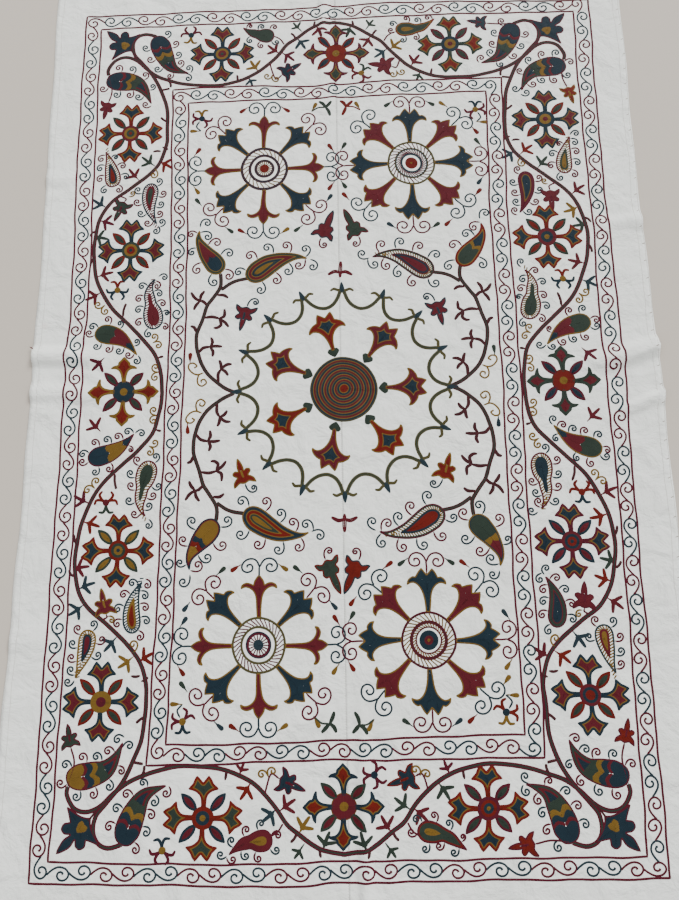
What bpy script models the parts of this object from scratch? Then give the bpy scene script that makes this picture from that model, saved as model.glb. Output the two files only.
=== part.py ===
"""A suzani: an embroidered cotton cloth lying on a floor. Metres, +Z up.

The cloth is made of two hand-loomed widths sewn together down the middle. Its embroidery is thread on the
surface, so the two widths are the only pieces cut. X runs across the cloth, Y along it, and the floor is
the plane z = 0. The cloth lies flat on it, apart from the low ripples in FOLDS.
"""

from collections import namedtuple
from math import copysign, cos, hypot, pi

import bmesh
import bpy

# Driving dimensions
CLOTH_LENGTH = 2.44
LOOM_WIDTH = 0.79
THICKNESS = 0.0016
SEAM_GAP = 0.0003
SEAM_X_TOP = 0.003
SEAM_X_FOOT = 0.007

# The grid that the cloth is shaped on: wide cells where it lies flat, close ones where it ripples
WIDE_CELL_X = 0.040
SEAM_CELL_X = 0.0075
SEAM_ZONE = 0.070
WIDE_CELL_Y = 0.060
CLOSE_CELL_Y = 0.009

Ripple = namedtuple("Ripple", "name start_x start_y end_x end_y half_width height fade_start fade_end")
EdgePoint = namedtuple("EdgePoint", "y x")
Panel = namedtuple("Panel", "name side colour")

# Each ripple is a soft ridge from its start, which is at the cloth's edge or inside it, to its end. The fades
# say how far from each end it takes to rise, and 0 means that it reaches the edge at its full height.
FOLDS = (
    Ripple("left_high_pleat", -0.800, 0.108, -0.540, 0.094, 0.036, 0.0125, 0.0, 0.17),
    Ripple("left_low_pleat", -0.800, 0.012, -0.570, 0.000, 0.036, 0.0085, 0.0, 0.15),
    Ripple("left_top_wave", -0.800, 0.612, -0.630, 0.606, 0.034, 0.0045, 0.0, 0.12),
    Ripple("left_foot_wave", -0.810, -0.604, -0.660, -0.590, 0.040, 0.0050, 0.0, 0.10),
    Ripple("right_top_wave", 0.810, 0.440, 0.650, 0.424, 0.032, 0.0080, 0.0, 0.11),
    Ripple("right_high_pleat", 0.820, 0.100, 0.540, 0.024, 0.038, 0.0150, 0.0, 0.20),
    Ripple("right_tuck", 0.820, -0.026, 0.630, -0.100, 0.026, 0.0095, 0.0, 0.14),
    Ripple("right_foot_wave", 0.820, -0.590, 0.690, -0.612, 0.030, 0.0045, 0.0, 0.10),
    Ripple("seam_top_ridge", -0.030, 1.230, -0.030, 0.800, 0.021, 0.0070, 0.0, 0.30),
    Ripple("seam_foot_ridge", 0.045, -1.230, 0.043, -0.560, 0.023, 0.0070, 0.0, 0.40),
    Ripple("foot_wave", -0.030, -0.752, -0.230, -0.872, 0.044, 0.0040, 0.07, 0.07),
)

# The two selvedges, read from the photograph, and a plain continuation past its top and foot
LEFT_SELVEDGE = (
    EdgePoint(-1.22, -0.800),
    EdgePoint(-0.80, -0.796),
    EdgePoint(-0.55, -0.791),
    EdgePoint(-0.20, -0.786),
    EdgePoint(0.20, -0.785),
    EdgePoint(0.40, -0.783),
    EdgePoint(0.70, -0.787),
    EdgePoint(1.22, -0.790),
)
RIGHT_SELVEDGE = (
    EdgePoint(-1.22, 0.797),
    EdgePoint(-0.60, 0.799),
    EdgePoint(-0.30, 0.801),
    EdgePoint(0.00, 0.802),
    EdgePoint(0.30, 0.797),
    EdgePoint(0.60, 0.793),
    EdgePoint(0.90, 0.797),
    EdgePoint(1.22, 0.798),
)
EDGE_WAVE = 0.0015
EDGE_WAVELENGTH = 0.31

# The cut ends are nearly straight: END_POWER keeps their wave out of the rest of the cloth
END_WAVE = 0.0020
END_WAVELENGTH = 0.52
END_POWER = 8

PANELS = (
    Panel("left_panel", -1, (0.74, 0.75, 0.72, 1.0)),
    Panel("right_panel", 1, (0.73, 0.74, 0.71, 1.0)),
)
COTTON_ROUGHNESS = 0.9


def clear_scene():
    for obj in list(bpy.data.objects):
        bpy.data.objects.remove(obj, do_unlink=True)


def smoothstep(t):
    t = min(max(t, 0.0), 1.0)
    return t * t * (3.0 - 2.0 * t)


def ripple_height(ripple, x, y):
    """How high one ripple lifts the cloth at this point."""
    run_x, run_y = ripple.end_x - ripple.start_x, ripple.end_y - ripple.start_y
    length = hypot(run_x, run_y)
    along = ((x - ripple.start_x) * run_x + (y - ripple.start_y) * run_y) / length
    across = abs((x - ripple.start_x) * run_y - (y - ripple.start_y) * run_x) / length
    if across >= ripple.half_width or along >= length or (along <= 0.0 and ripple.fade_start > 0.0):
        return 0.0
    rise = smoothstep(along / ripple.fade_start) if ripple.fade_start else 1.0
    fall = smoothstep((length - along) / ripple.fade_end) if ripple.fade_end else 1.0
    return ripple.height * rise * fall * (0.5 + 0.5 * cos(pi * across / ripple.half_width))


def lift(x, y):
    """The height of the cloth's underside over the floor."""
    return max(ripple_height(ripple, x, y) for ripple in FOLDS)


def selvedge_x(points, y):
    """The selvedge's place across the cloth at y: a soft line through its points with a small wave on it."""
    y = min(max(y, points[0].y), points[-1].y)
    for low, high in zip(points, points[1:]):
        if y <= high.y:
            share = smoothstep((y - low.y) / (high.y - low.y))
            return low.x + (high.x - low.x) * share + EDGE_WAVE * cos(2 * pi * y / EDGE_WAVELENGTH)
    return points[-1].x


def seam_x(y):
    share = 0.5 - y / CLOTH_LENGTH
    return SEAM_X_TOP + (SEAM_X_FOOT - SEAM_X_TOP) * share


def end_wave(x, y):
    """How far the cut end is drawn in at this point: its full wave at either end, and next to none elsewhere."""
    nearness = abs(2 * y / CLOTH_LENGTH) ** END_POWER
    return -copysign(END_WAVE * nearness * (1.0 - cos(2 * pi * x / END_WAVELENGTH)), y)


def stations(low, high, cell_at):
    """Places from low to high, spaced as cell_at asks at each."""
    places = [low]
    while places[-1] < high:
        places.append(places[-1] + cell_at(places[-1]))
    stretch = (high - low) / (places[-1] - low)
    return [low + (place - low) * stretch for place in places]


def cell_across(distance):
    """The cell width wanted at this distance from the seam, where the ridges beside it run along the cloth."""
    return SEAM_CELL_X if distance < SEAM_ZONE else WIDE_CELL_X


def cell_along(y, side):
    """The cell length wanted at y: close where a ripple on this side of the seam crosses the cloth."""
    cell = WIDE_CELL_Y
    for ripple in FOLDS:
        lies_along = abs(ripple.end_y - ripple.start_y) > abs(ripple.end_x - ripple.start_x)
        if lies_along or ripple.start_x * side < 0:
            continue
        low = min(ripple.start_y, ripple.end_y) - ripple.half_width
        high = max(ripple.start_y, ripple.end_y) + ripple.half_width
        if low - CLOSE_CELL_Y <= y <= high:
            cell = CLOSE_CELL_Y
        elif y < low:
            cell = min(cell, max(CLOSE_CELL_Y, low - y))
    return cell


def fabric_material(panel):
    material = bpy.data.materials.new(panel.name + "_cotton")
    material.use_nodes = True
    shader = material.node_tree.nodes["Principled BSDF"]
    shader.inputs["Base Color"].default_value = panel.colour
    shader.inputs["Roughness"].default_value = COTTON_ROUGHNESS
    shader.inputs["Metallic"].default_value = 0.0
    return material


def make_panel(panel, collection):
    """One loom width: a grid laid on the ripples, as the underside, with its thickness built up from there."""
    across = stations(0.0, LOOM_WIDTH, cell_across)
    along = stations(-CLOTH_LENGTH / 2, CLOTH_LENGTH / 2, lambda y: cell_along(y, panel.side))
    columns, rows = len(across) - 1, len(along) - 1
    selvedge = LEFT_SELVEDGE if panel.side < 0 else RIGHT_SELVEDGE

    mesh = bpy.data.meshes.new(panel.name)
    grid = bmesh.new()
    bmesh.ops.create_grid(grid, x_segments=columns, y_segments=rows, size=0.5)
    for vertex in grid.verts:
        column = round((vertex.co.x + 0.5) * columns)
        row = round((vertex.co.y + 0.5) * rows)
        y = along[row]
        inner = seam_x(y) + panel.side * SEAM_GAP / 2
        outer = selvedge_x(selvedge, y)
        share = across[columns - column if panel.side < 0 else column] / LOOM_WIDTH
        x = inner + (outer - inner) * share
        vertex.co = (x, y + end_wave(x, y), lift(x, y))
    grid.to_mesh(mesh)
    grid.free()

    cloth = bpy.data.objects.new(panel.name, mesh)
    collection.objects.link(cloth)
    mesh.materials.append(fabric_material(panel))
    body = cloth.modifiers.new("Thickness", "SOLIDIFY")
    body.thickness = THICKNESS
    body.offset = 1.0
    return cloth


def main():
    clear_scene()
    suzani = bpy.data.collections.new("suzani")
    bpy.context.scene.collection.children.link(suzani)
    for panel in PANELS:
        make_panel(panel, suzani)


main()
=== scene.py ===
"""A suzani: an embroidered cotton cloth, laid out flat and seen from nearly above.

The cloth is made first, in metres. The embroidery is then drawn as rows of chain stitch, in millimetres on
the flat cloth with x across and y along it, and each piece of it is laid on the cloth's surface.
"""

from collections import namedtuple
from math import atan2, ceil, cos, degrees, hypot, pi, radians, sin

import bmesh
import bpy
import numpy as np
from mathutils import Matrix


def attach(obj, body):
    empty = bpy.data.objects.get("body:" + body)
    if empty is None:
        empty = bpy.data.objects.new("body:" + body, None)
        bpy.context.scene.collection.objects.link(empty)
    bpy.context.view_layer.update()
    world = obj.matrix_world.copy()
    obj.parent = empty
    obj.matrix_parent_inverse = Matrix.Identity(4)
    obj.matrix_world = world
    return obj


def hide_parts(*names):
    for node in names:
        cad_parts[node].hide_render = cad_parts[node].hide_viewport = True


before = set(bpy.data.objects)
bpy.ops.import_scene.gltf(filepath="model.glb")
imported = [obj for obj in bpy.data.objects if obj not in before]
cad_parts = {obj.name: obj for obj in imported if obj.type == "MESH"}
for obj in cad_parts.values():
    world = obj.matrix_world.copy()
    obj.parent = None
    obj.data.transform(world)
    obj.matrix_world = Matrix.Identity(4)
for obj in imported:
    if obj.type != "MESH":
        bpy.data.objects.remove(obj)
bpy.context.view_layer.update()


# The cloth: two loom widths of hand-woven cotton, 0.8 m by 2.44 m each, which meet at the seam down the
# middle. It lies loose on the floor, with pleats that come in from its sides and a ridge beside each end of
# the seam.
CLOTH_LENGTH = 2.44
LOOM_WIDTH = 0.79
THICKNESS = 0.0016
SEAM_GAP = 0.0003
SEAM_X_TOP = 0.003
SEAM_X_FOOT = 0.007

Ripple = namedtuple("Ripple", "name start_x start_y end_x end_y half_width height fade_start fade_end")
EdgePoint = namedtuple("EdgePoint", "y x")
Panel = namedtuple("Panel", "node side selvedge tint")

FOLDS = (
    Ripple("left_high_pleat", -0.800, 0.108, -0.540, 0.094, 0.036, 0.0125, 0.0, 0.17),
    Ripple("left_low_pleat", -0.800, 0.012, -0.570, 0.000, 0.036, 0.0085, 0.0, 0.15),
    Ripple("left_top_wave", -0.800, 0.612, -0.630, 0.606, 0.034, 0.0045, 0.0, 0.12),
    Ripple("left_foot_wave", -0.810, -0.604, -0.660, -0.590, 0.040, 0.0050, 0.0, 0.10),
    Ripple("right_top_wave", 0.810, 0.440, 0.650, 0.424, 0.032, 0.0080, 0.0, 0.11),
    Ripple("right_high_pleat", 0.820, 0.100, 0.540, 0.024, 0.038, 0.0150, 0.0, 0.20),
    Ripple("right_tuck", 0.820, -0.026, 0.630, -0.100, 0.026, 0.0095, 0.0, 0.14),
    Ripple("right_foot_wave", 0.820, -0.590, 0.690, -0.612, 0.030, 0.0045, 0.0, 0.10),
    Ripple("seam_top_ridge", -0.030, 1.230, -0.030, 0.800, 0.021, 0.0070, 0.0, 0.30),
    Ripple("seam_foot_ridge", 0.045, -1.230, 0.043, -0.560, 0.023, 0.0070, 0.0, 0.40),
    Ripple("foot_wave", -0.030, -0.752, -0.230, -0.872, 0.044, 0.0040, 0.07, 0.07),
)

# The creases that are too low for the solids, under three millimetres: short ones across the side margins,
# sharp slanting ones along the pleats, and long soft ones in the field
CREASES = [Ripple("crease", *numbers) for numbers in (
    (-0.790, 0.148, -0.600, 0.150, 0.012, 0.0009, 0.0, 0.10),
    (-0.790, 0.068, -0.560, 0.052, 0.011, 0.0009, 0.0, 0.12),
    (-0.790, -0.048, -0.640, -0.046, 0.013, 0.0007, 0.0, 0.08),
    (-0.790, 0.300, -0.690, 0.290, 0.015, 0.0006, 0.0, 0.06),
    (-0.790, 0.560, -0.690, 0.566, 0.010, 0.0007, 0.0, 0.06),
    (-0.790, -0.560, -0.680, -0.556, 0.012, 0.0007, 0.0, 0.06),
    (-0.795, -0.660, -0.700, -0.640, 0.012, 0.0006, 0.0, 0.06),
    (-0.785, 0.880, -0.700, 0.905, 0.016, 0.0005, 0.0, 0.05),
    (-0.795, -0.930, -0.710, -0.955, 0.018, 0.0006, 0.0, 0.05),
    (0.800, 0.490, 0.620, 0.452, 0.012, 0.0009, 0.0, 0.10),
    (0.800, 0.395, 0.690, 0.372, 0.012, 0.0008, 0.0, 0.07),
    (0.800, 0.225, 0.660, 0.172, 0.013, 0.0009, 0.0, 0.10),
    (0.800, 0.160, 0.600, 0.098, 0.012, 0.0009, 0.0, 0.12),
    (0.800, 0.034, 0.580, -0.030, 0.012, 0.0009, 0.0, 0.12),
    (0.800, -0.085, 0.660, -0.150, 0.014, 0.0009, 0.0, 0.09),
    (0.800, -0.170, 0.690, -0.215, 0.014, 0.0007, 0.0, 0.07),
    (0.795, 0.370, 0.745, 0.352, 0.009, 0.0009, 0.0, 0.03),
    (0.795, 0.700, 0.720, 0.725, 0.016, 0.0006, 0.0, 0.05),
    (0.795, -0.420, 0.720, -0.400, 0.016, 0.0006, 0.0, 0.05),
    (0.795, -0.780, 0.710, -0.800, 0.018, 0.0006, 0.0, 0.05),
    (0.806, 0.094, 0.640, 0.022, 0.009, 0.0027, 0.0, 0.08),
    (0.806, 0.118, 0.690, 0.070, 0.008, 0.0018, 0.0, 0.06),
    (0.804, -0.022, 0.660, -0.080, 0.009, 0.0026, 0.0, 0.07),
    (-0.786, 0.094, -0.620, 0.086, 0.009, 0.0013, 0.0, 0.10),
    (-0.786, 0.000, -0.640, -0.008, 0.009, 0.0011, 0.0, 0.08),
    (0.028, 0.980, 0.034, 0.300, 0.014, 0.0008, 0.20, 0.25),
    (0.048, 0.420, 0.042, -0.260, 0.016, 0.0009, 0.20, 0.20),
    (0.074, 0.100, 0.070, -0.420, 0.015, 0.0006, 0.20, 0.15),
    (-0.032, 0.700, -0.026, 0.120, 0.013, 0.0006, 0.20, 0.20),
    (-0.034, -0.460, -0.042, -1.020, 0.014, 0.0008, 0.20, 0.20),
    (0.092, -0.700, 0.104, -1.225, 0.017, 0.0009, 0.20, 0.0),
    (-0.075, -0.700, -0.190, -0.780, 0.014, 0.0009, 0.05, 0.05),
    (-0.120, -0.350, -0.260, -0.430, 0.020, 0.0009, 0.06, 0.06),
    (-0.395, 0.092, -0.230, 0.080, 0.013, 0.0007, 0.06, 0.08),
    (-0.395, -0.005, -0.180, -0.012, 0.012, 0.0006, 0.06, 0.10),
    (0.400, 0.035, 0.240, 0.010, 0.013, 0.0007, 0.05, 0.08),
    (0.120, 0.700, 0.300, 0.720, 0.018, 0.0006, 0.06, 0.06),
    (-0.340, 0.690, -0.210, 0.700, 0.015, 0.0005, 0.05, 0.05),
    (0.300, -0.690, 0.150, -0.705, 0.017, 0.0006, 0.05, 0.05),
    (0.250, -1.150, 0.262, -1.225, 0.020, 0.0008, 0.04, 0.0),
    (-0.420, -1.130, -0.440, -1.225, 0.020, 0.0007, 0.05, 0.0),
    (-0.300, 1.140, -0.290, 1.225, 0.018, 0.0007, 0.04, 0.0),
    (0.420, 1.150, 0.436, 1.225, 0.020, 0.0007, 0.04, 0.0),
)]

# The stitches draw the cotton up a little everywhere: a low unevenness from a few crossing waves
Cockle = namedtuple("Cockle", "height wave_x wave_y shift")
COCKLES = (
    Cockle(0.00022, 0.061, 0.083, 0.4),
    Cockle(0.00018, 0.037, -0.052, 1.9),
    Cockle(0.00014, -0.029, 0.033, 3.1),
    Cockle(0.00030, 0.170, 0.230, 5.0),
)

LEFT_SELVEDGE = (
    EdgePoint(-1.22, -0.800),
    EdgePoint(-0.80, -0.796),
    EdgePoint(-0.55, -0.791),
    EdgePoint(-0.20, -0.786),
    EdgePoint(0.20, -0.785),
    EdgePoint(0.40, -0.783),
    EdgePoint(0.70, -0.787),
    EdgePoint(1.22, -0.790),
)
RIGHT_SELVEDGE = (
    EdgePoint(-1.22, 0.797),
    EdgePoint(-0.60, 0.799),
    EdgePoint(-0.30, 0.801),
    EdgePoint(0.00, 0.802),
    EdgePoint(0.30, 0.797),
    EdgePoint(0.60, 0.793),
    EdgePoint(0.90, 0.797),
    EdgePoint(1.22, 0.798),
)
EDGE_WAVE = 0.0015
EDGE_WAVELENGTH = 0.31
END_WAVE = 0.0020
END_WAVELENGTH = 0.52
END_POWER = 8

# The mesh's cells: narrow beside the seam's ridges and short across the deeper pleats
CELL_X = 0.0092
SEAM_CELL_X = 0.0050
SEAM_ZONE = 0.070
CELL_Y = 0.0092
PLEAT_CELL_Y = 0.0052
PLEAT_ZONES = ((-0.14, 0.15), (0.39, 0.47))


def smoothstep(t):
    """A soft rise from 0 to 1."""
    t = np.clip(t, 0.0, 1.0)
    return t * t * (3.0 - 2.0 * t)


def ripple_height(ripple, x, y):
    """How high one ripple lifts the cloth at each point."""
    run_x, run_y = ripple.end_x - ripple.start_x, ripple.end_y - ripple.start_y
    length = hypot(run_x, run_y)
    along = ((x - ripple.start_x) * run_x + (y - ripple.start_y) * run_y) / length
    across = np.abs((x - ripple.start_x) * run_y - (y - ripple.start_y) * run_x) / length
    rise = smoothstep(along / ripple.fade_start) if ripple.fade_start else 1.0
    fall = np.where(along < length, 1.0, 0.0)
    if ripple.fade_end:
        fall = smoothstep((length - along) / ripple.fade_end)
    crest = 0.5 + 0.5 * np.cos(pi * np.minimum(across / ripple.half_width, 1.0))
    return ripple.height * rise * fall * crest


def cloth_top(x, y):
    """The height of the cloth's upper surface over the floor, in metres."""
    height = np.zeros_like(x)
    for ripple in FOLDS:
        height = np.maximum(height, ripple_height(ripple, x, y))
    for crease in CREASES:
        height = height + ripple_height(crease, x, y)
    for cockle in COCKLES:
        wave = 2 * pi * (x / cockle.wave_x + y / cockle.wave_y) + cockle.shift
        height = height + cockle.height * (0.5 + 0.5 * np.sin(wave))
    return height + THICKNESS


def selvedge_x(points, y):
    """The selvedge's place across the cloth: a soft line through its points with a small wave on it."""
    x = np.full_like(y, points[0].x)
    for low, high in zip(points, points[1:]):
        x = x + (high.x - low.x) * smoothstep((y - low.y) / (high.y - low.y))
    return x + EDGE_WAVE * np.cos(2 * pi * y / EDGE_WAVELENGTH)


def seam_x(y):
    """The seam's place across the cloth."""
    return SEAM_X_TOP + (SEAM_X_FOOT - SEAM_X_TOP) * (0.5 - y / CLOTH_LENGTH)


def drawn_in(x, y):
    """How far the cut end is drawn in here: its full wave at either end, and next to none elsewhere."""
    nearness = np.abs(2 * y / CLOTH_LENGTH) ** END_POWER
    return -np.sign(y) * END_WAVE * nearness * (1.0 - np.cos(2 * pi * x / END_WAVELENGTH))


def stations(low, high, cell_at):
    """Places from low to high, spaced as cell_at asks at each."""
    places = [low]
    while places[-1] < high:
        places.append(places[-1] + cell_at(places[-1]))
    places = np.array(places)
    return low + (places - low) * (high - low) / (places[-1] - low)


def cell_along(y):
    """The cell length wanted at y."""
    return PLEAT_CELL_Y if any(low < y < high for low, high in PLEAT_ZONES) else CELL_Y


def new_group(name, sockets):
    """An empty shader node group with these (name, in or out, socket type, value) sockets."""
    group = bpy.data.node_groups.new(name, "ShaderNodeTree")
    for label, way, kind, value in sockets:
        socket = group.interface.new_socket(label, in_out=way, socket_type="NodeSocket" + kind)
        if value is not None:
            socket.default_value = value
    return group


def add_node(tree, kind, inputs=None, **settings):
    """A node with its settings, and its inputs either set to a value or linked from another node's socket."""
    node = tree.nodes.new(kind)
    for setting, value in settings.items():
        setattr(node, setting, value)
    for socket, value in (inputs or {}).items():
        if isinstance(value, bpy.types.NodeSocket):
            tree.links.new(value, node.inputs[socket])
        else:
            node.inputs[socket].default_value = value
    return node


def math_node(tree, operation, *values):
    return add_node(tree, "ShaderNodeMath", dict(enumerate(values)), operation=operation).outputs[0]


def noise(tree, place, scale, detail, **more):
    inputs = {"Vector": place, "Scale": scale, "Detail": detail, **more}
    return add_node(tree, "ShaderNodeTexNoise", inputs).outputs["Fac"]


def ranged(tree, value, low, high, start, stop):
    """A value that runs from start to stop as the one given runs from low to high."""
    return add_node(tree, "ShaderNodeMapRange", {0: value, 1: low, 2: high, 3: start, 4: stop}).outputs[0]


def mixed(tree, share, first, second):
    """The first colour where share is 0, and the second where it is 1."""
    return add_node(tree, "ShaderNodeMix", {0: share, 6: first, 7: second}, data_type="RGBA").outputs[2]


def plain_weave_group():
    """Plain weave from Object coordinates: the over and under of its yarns, and the thick places in them."""
    group = new_group("plain_weave", (
        ("Yarn pitch", "INPUT", "Float", 0.0009),
        ("Slub size", "INPUT", "Float", 0.006),
        ("Height", "OUTPUT", "Float", None),
        ("Slubs", "OUTPUT", "Float", None),
    ))
    given = group.nodes.new("NodeGroupInput")
    place = add_node(group, "ShaderNodeTexCoord").outputs["Object"]
    split = add_node(group, "ShaderNodeSeparateXYZ", {0: place})
    turns = math_node(group, "DIVIDE", 2 * pi, given.outputs["Yarn pitch"])
    warp = math_node(group, "SINE", math_node(group, "MULTIPLY", split.outputs["X"], turns))
    weft = math_node(group, "SINE", math_node(group, "MULTIPLY", split.outputs["Y"], turns))
    over_under = math_node(group, "MULTIPLY", warp, weft)
    streaks = []
    for stretch in ((1.0, 0.045, 1.0), (0.045, 1.0, 1.0)):
        mapped = add_node(group, "ShaderNodeMapping", {"Vector": place, "Scale": stretch}).outputs[0]
        fineness = math_node(group, "DIVIDE", 1.0, given.outputs["Slub size"])
        streaks.append(noise(group, mapped, fineness, 3.0))
    slubs = math_node(group, "MULTIPLY", math_node(group, "ADD", *streaks), 0.5)
    height = math_node(group, "ADD", math_node(group, "MULTIPLY", over_under, 0.25), slubs)
    end = group.nodes.new("NodeGroupOutput")
    group.links.new(height, end.inputs["Height"])
    group.links.new(slubs, end.inputs["Slubs"])
    return group


PLAIN_WEAVE = plain_weave_group()
COTTON_ROUGHNESS = 0.92
COTTON_SHEEN = 0.08
COTTON_BUMP = 0.00016
DARKER_YARN = 0.925
WRINKLES = 0.013
WRINKLE_SHAPE = {"Roughness": 0.56, "Distortion": 0.4}

# Marks on the cotton in the photograph: place, radius, colour and how far the colour covers
Mark = namedtuple("Mark", "x y radius colour cover")
MARKS = (
    Mark(-0.762, 0.188, 0.012, (0.62, 0.42, 0.40), 0.22),
    Mark(-0.729, 0.186, 0.0016, (0.10, 0.09, 0.08), 0.8),
    Mark(0.737, 0.853, 0.0018, (0.10, 0.09, 0.08), 0.8),
    Mark(-0.745, 0.962, 0.0012, (0.14, 0.12, 0.10), 0.6),
    Mark(0.330, -1.160, 0.030, (0.55, 0.52, 0.44), 0.10),
    Mark(-0.540, -1.150, 0.050, (0.56, 0.54, 0.47), 0.10),
    Mark(0.760, -0.300, 0.040, (0.58, 0.56, 0.50), 0.10),
)


def cotton_material(name, tint):
    """Undyed cotton: a weave with slubs and soft wrinkles, slowly uneven in tone, and the few marks on it."""
    material = bpy.data.materials.new(name)
    material.use_nodes = True
    tree = material.node_tree
    shader = tree.nodes["Principled BSDF"]
    weave = add_node(tree, "ShaderNodeGroup", node_tree=PLAIN_WEAVE)
    place = add_node(tree, "ShaderNodeTexCoord").outputs["Object"]
    tone = math_node(tree, "ADD", weave.outputs["Slubs"], noise(tree, place, 3.2, 4.0))
    dark = tuple(DARKER_YARN * channel for channel in tint[:3]) + (1.0,)
    colour = mixed(tree, ranged(tree, tone, 0.6, 1.4, 0.0, 1.0), dark, tint)
    for mark in MARKS:
        centre = {0: place, 1: (mark.x, mark.y, THICKNESS)}
        away = add_node(tree, "ShaderNodeVectorMath", centre, operation="DISTANCE").outputs["Value"]
        share = ranged(tree, away, mark.radius * 0.4, mark.radius, mark.cover, 0.0)
        colour = mixed(tree, share, colour, mark.colour + (1.0,))
    tree.links.new(colour, shader.inputs["Base Color"])
    wrinkles = noise(tree, place, 15.0, 6.0, **WRINKLE_SHAPE)
    crumple = add_node(tree, "ShaderNodeBump", {"Height": wrinkles, "Distance": WRINKLES}).outputs[0]
    woven = {"Height": weave.outputs["Height"], "Distance": COTTON_BUMP, "Normal": crumple}
    tree.links.new(add_node(tree, "ShaderNodeBump", woven).outputs[0], shader.inputs["Normal"])
    shader.inputs["Roughness"].default_value = COTTON_ROUGHNESS
    shader.inputs["Sheen Weight"].default_value = COTTON_SHEEN
    return material


def places_of(mesh):
    """Where the mesh's points lie, one row for each."""
    places = np.empty(len(mesh.vertices) * 3)
    mesh.vertices.foreach_get("co", places)
    return places.reshape(-1, 3)


def flat_map(mesh):
    """A UV map of the mesh as seen from above, over its own box."""
    flat = places_of(mesh)[:, :2]
    corner = np.empty(len(mesh.loops), int)
    mesh.loops.foreach_get("vertex_index", corner)
    size = np.maximum(np.ptp(flat, axis=0), 1e-6)
    layer = mesh.uv_layers.new(name="OFBake", do_init=False)
    layer.uv.foreach_set("vector", ((flat - flat.min(0)) / size)[corner].ravel())


def loom_width(panel):
    """One loom width: a grid shaped on the folds and creases, with its thickness built downwards."""
    across = stations(0.0, LOOM_WIDTH, lambda x: SEAM_CELL_X if x < SEAM_ZONE else CELL_X)
    along = stations(-CLOTH_LENGTH / 2, CLOTH_LENGTH / 2, cell_along)
    columns, rows = len(across) - 1, len(along) - 1
    mesh = bpy.data.meshes.new(panel.node + "_cotton")
    grid = bmesh.new()
    bmesh.ops.create_grid(grid, x_segments=columns, y_segments=rows, size=0.5)
    grid.to_mesh(mesh)
    grid.free()
    places = places_of(mesh)
    column = np.rint((places[:, 0] + 0.5) * columns).astype(int)
    row = np.rint((places[:, 1] + 0.5) * rows).astype(int)
    y = along[row]
    inner = seam_x(y) + panel.side * SEAM_GAP / 2
    share = across[columns - column if panel.side < 0 else column] / LOOM_WIDTH
    x = inner + (selvedge_x(panel.selvedge, y) - inner) * share
    places = np.column_stack((x, y + drawn_in(x, y), cloth_top(x, y)))
    mesh.vertices.foreach_set("co", places.ravel())
    flat_map(mesh)
    mesh.shade_smooth()
    cloth = bpy.data.objects.new(panel.node + "_cotton", mesh)
    bpy.context.scene.collection.objects.link(cloth)
    body = cloth.modifiers.new("Thickness", "SOLIDIFY")
    body.thickness = THICKNESS
    body.offset = -1.0
    cloth.data.materials.append(cotton_material(panel.node + "_cotton", panel.tint))
    return cloth


for panel in (
    Panel("left_panel", -1, LEFT_SELVEDGE, (0.795, 0.81, 0.765, 1.0)),
    Panel("right_panel", 1, RIGHT_SELVEDGE, (0.785, 0.80, 0.755, 1.0)),
):
    cloth = loom_width(panel)
    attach(cloth, "root")
    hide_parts(panel.node)


# The seam: the two widths meet edge to edge, and small slanting stitches of undyed thread draw them together.
# They are made as all the embroidery is: rows of thread, drawn as lines in millimetres, swept into low arches
# and laid on the cloth.
MM = 0.001
LINE = 6.2
FILL = 5.4
PITCH = 2.15
LONGEST_STEP = 6.0
TURN_PER_STEP = radians(17)
ROW_SINK = 0.045
ROW_CROWN = 0.17
ROW_END = 0.45
STITCH = 0.0034
STITCH_BUMP = 0.0005
THREAD_ROUGHNESS = 0.72
THREAD_SHEEN = 0.02
THREAD_SHINE = 0.1

Row = namedtuple("Row", "points closed thread width")
Thread = namedtuple("Thread", "light dark")

# Each thread's dark colour is painted shade between its strands and at the row's edges, and uneven dye
THREADS = {
    "wine": Thread((0.072, 0.005, 0.013), (0.040, 0.003, 0.008)),
    "rust": Thread((0.112, 0.007, 0.003), (0.064, 0.004, 0.002)),
    "rose": Thread((0.084, 0.007, 0.012), (0.047, 0.004, 0.007)),
    "navy": Thread((0.008, 0.020, 0.029), (0.004, 0.010, 0.016)),
    "slate": Thread((0.013, 0.027, 0.035), (0.007, 0.015, 0.020)),
    "green": Thread((0.020, 0.031, 0.022), (0.011, 0.018, 0.013)),
    "gold": Thread((0.138, 0.076, 0.011), (0.082, 0.046, 0.007)),
    "olive": Thread((0.062, 0.053, 0.019), (0.037, 0.032, 0.012)),
    "bark": Thread((0.048, 0.010, 0.012), (0.026, 0.006, 0.008)),
    "cotton": Thread((0.66, 0.65, 0.60), (0.52, 0.51, 0.47)),
    "brown": Thread((0.24, 0.17, 0.12), (0.16, 0.11, 0.08)),
}


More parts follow.
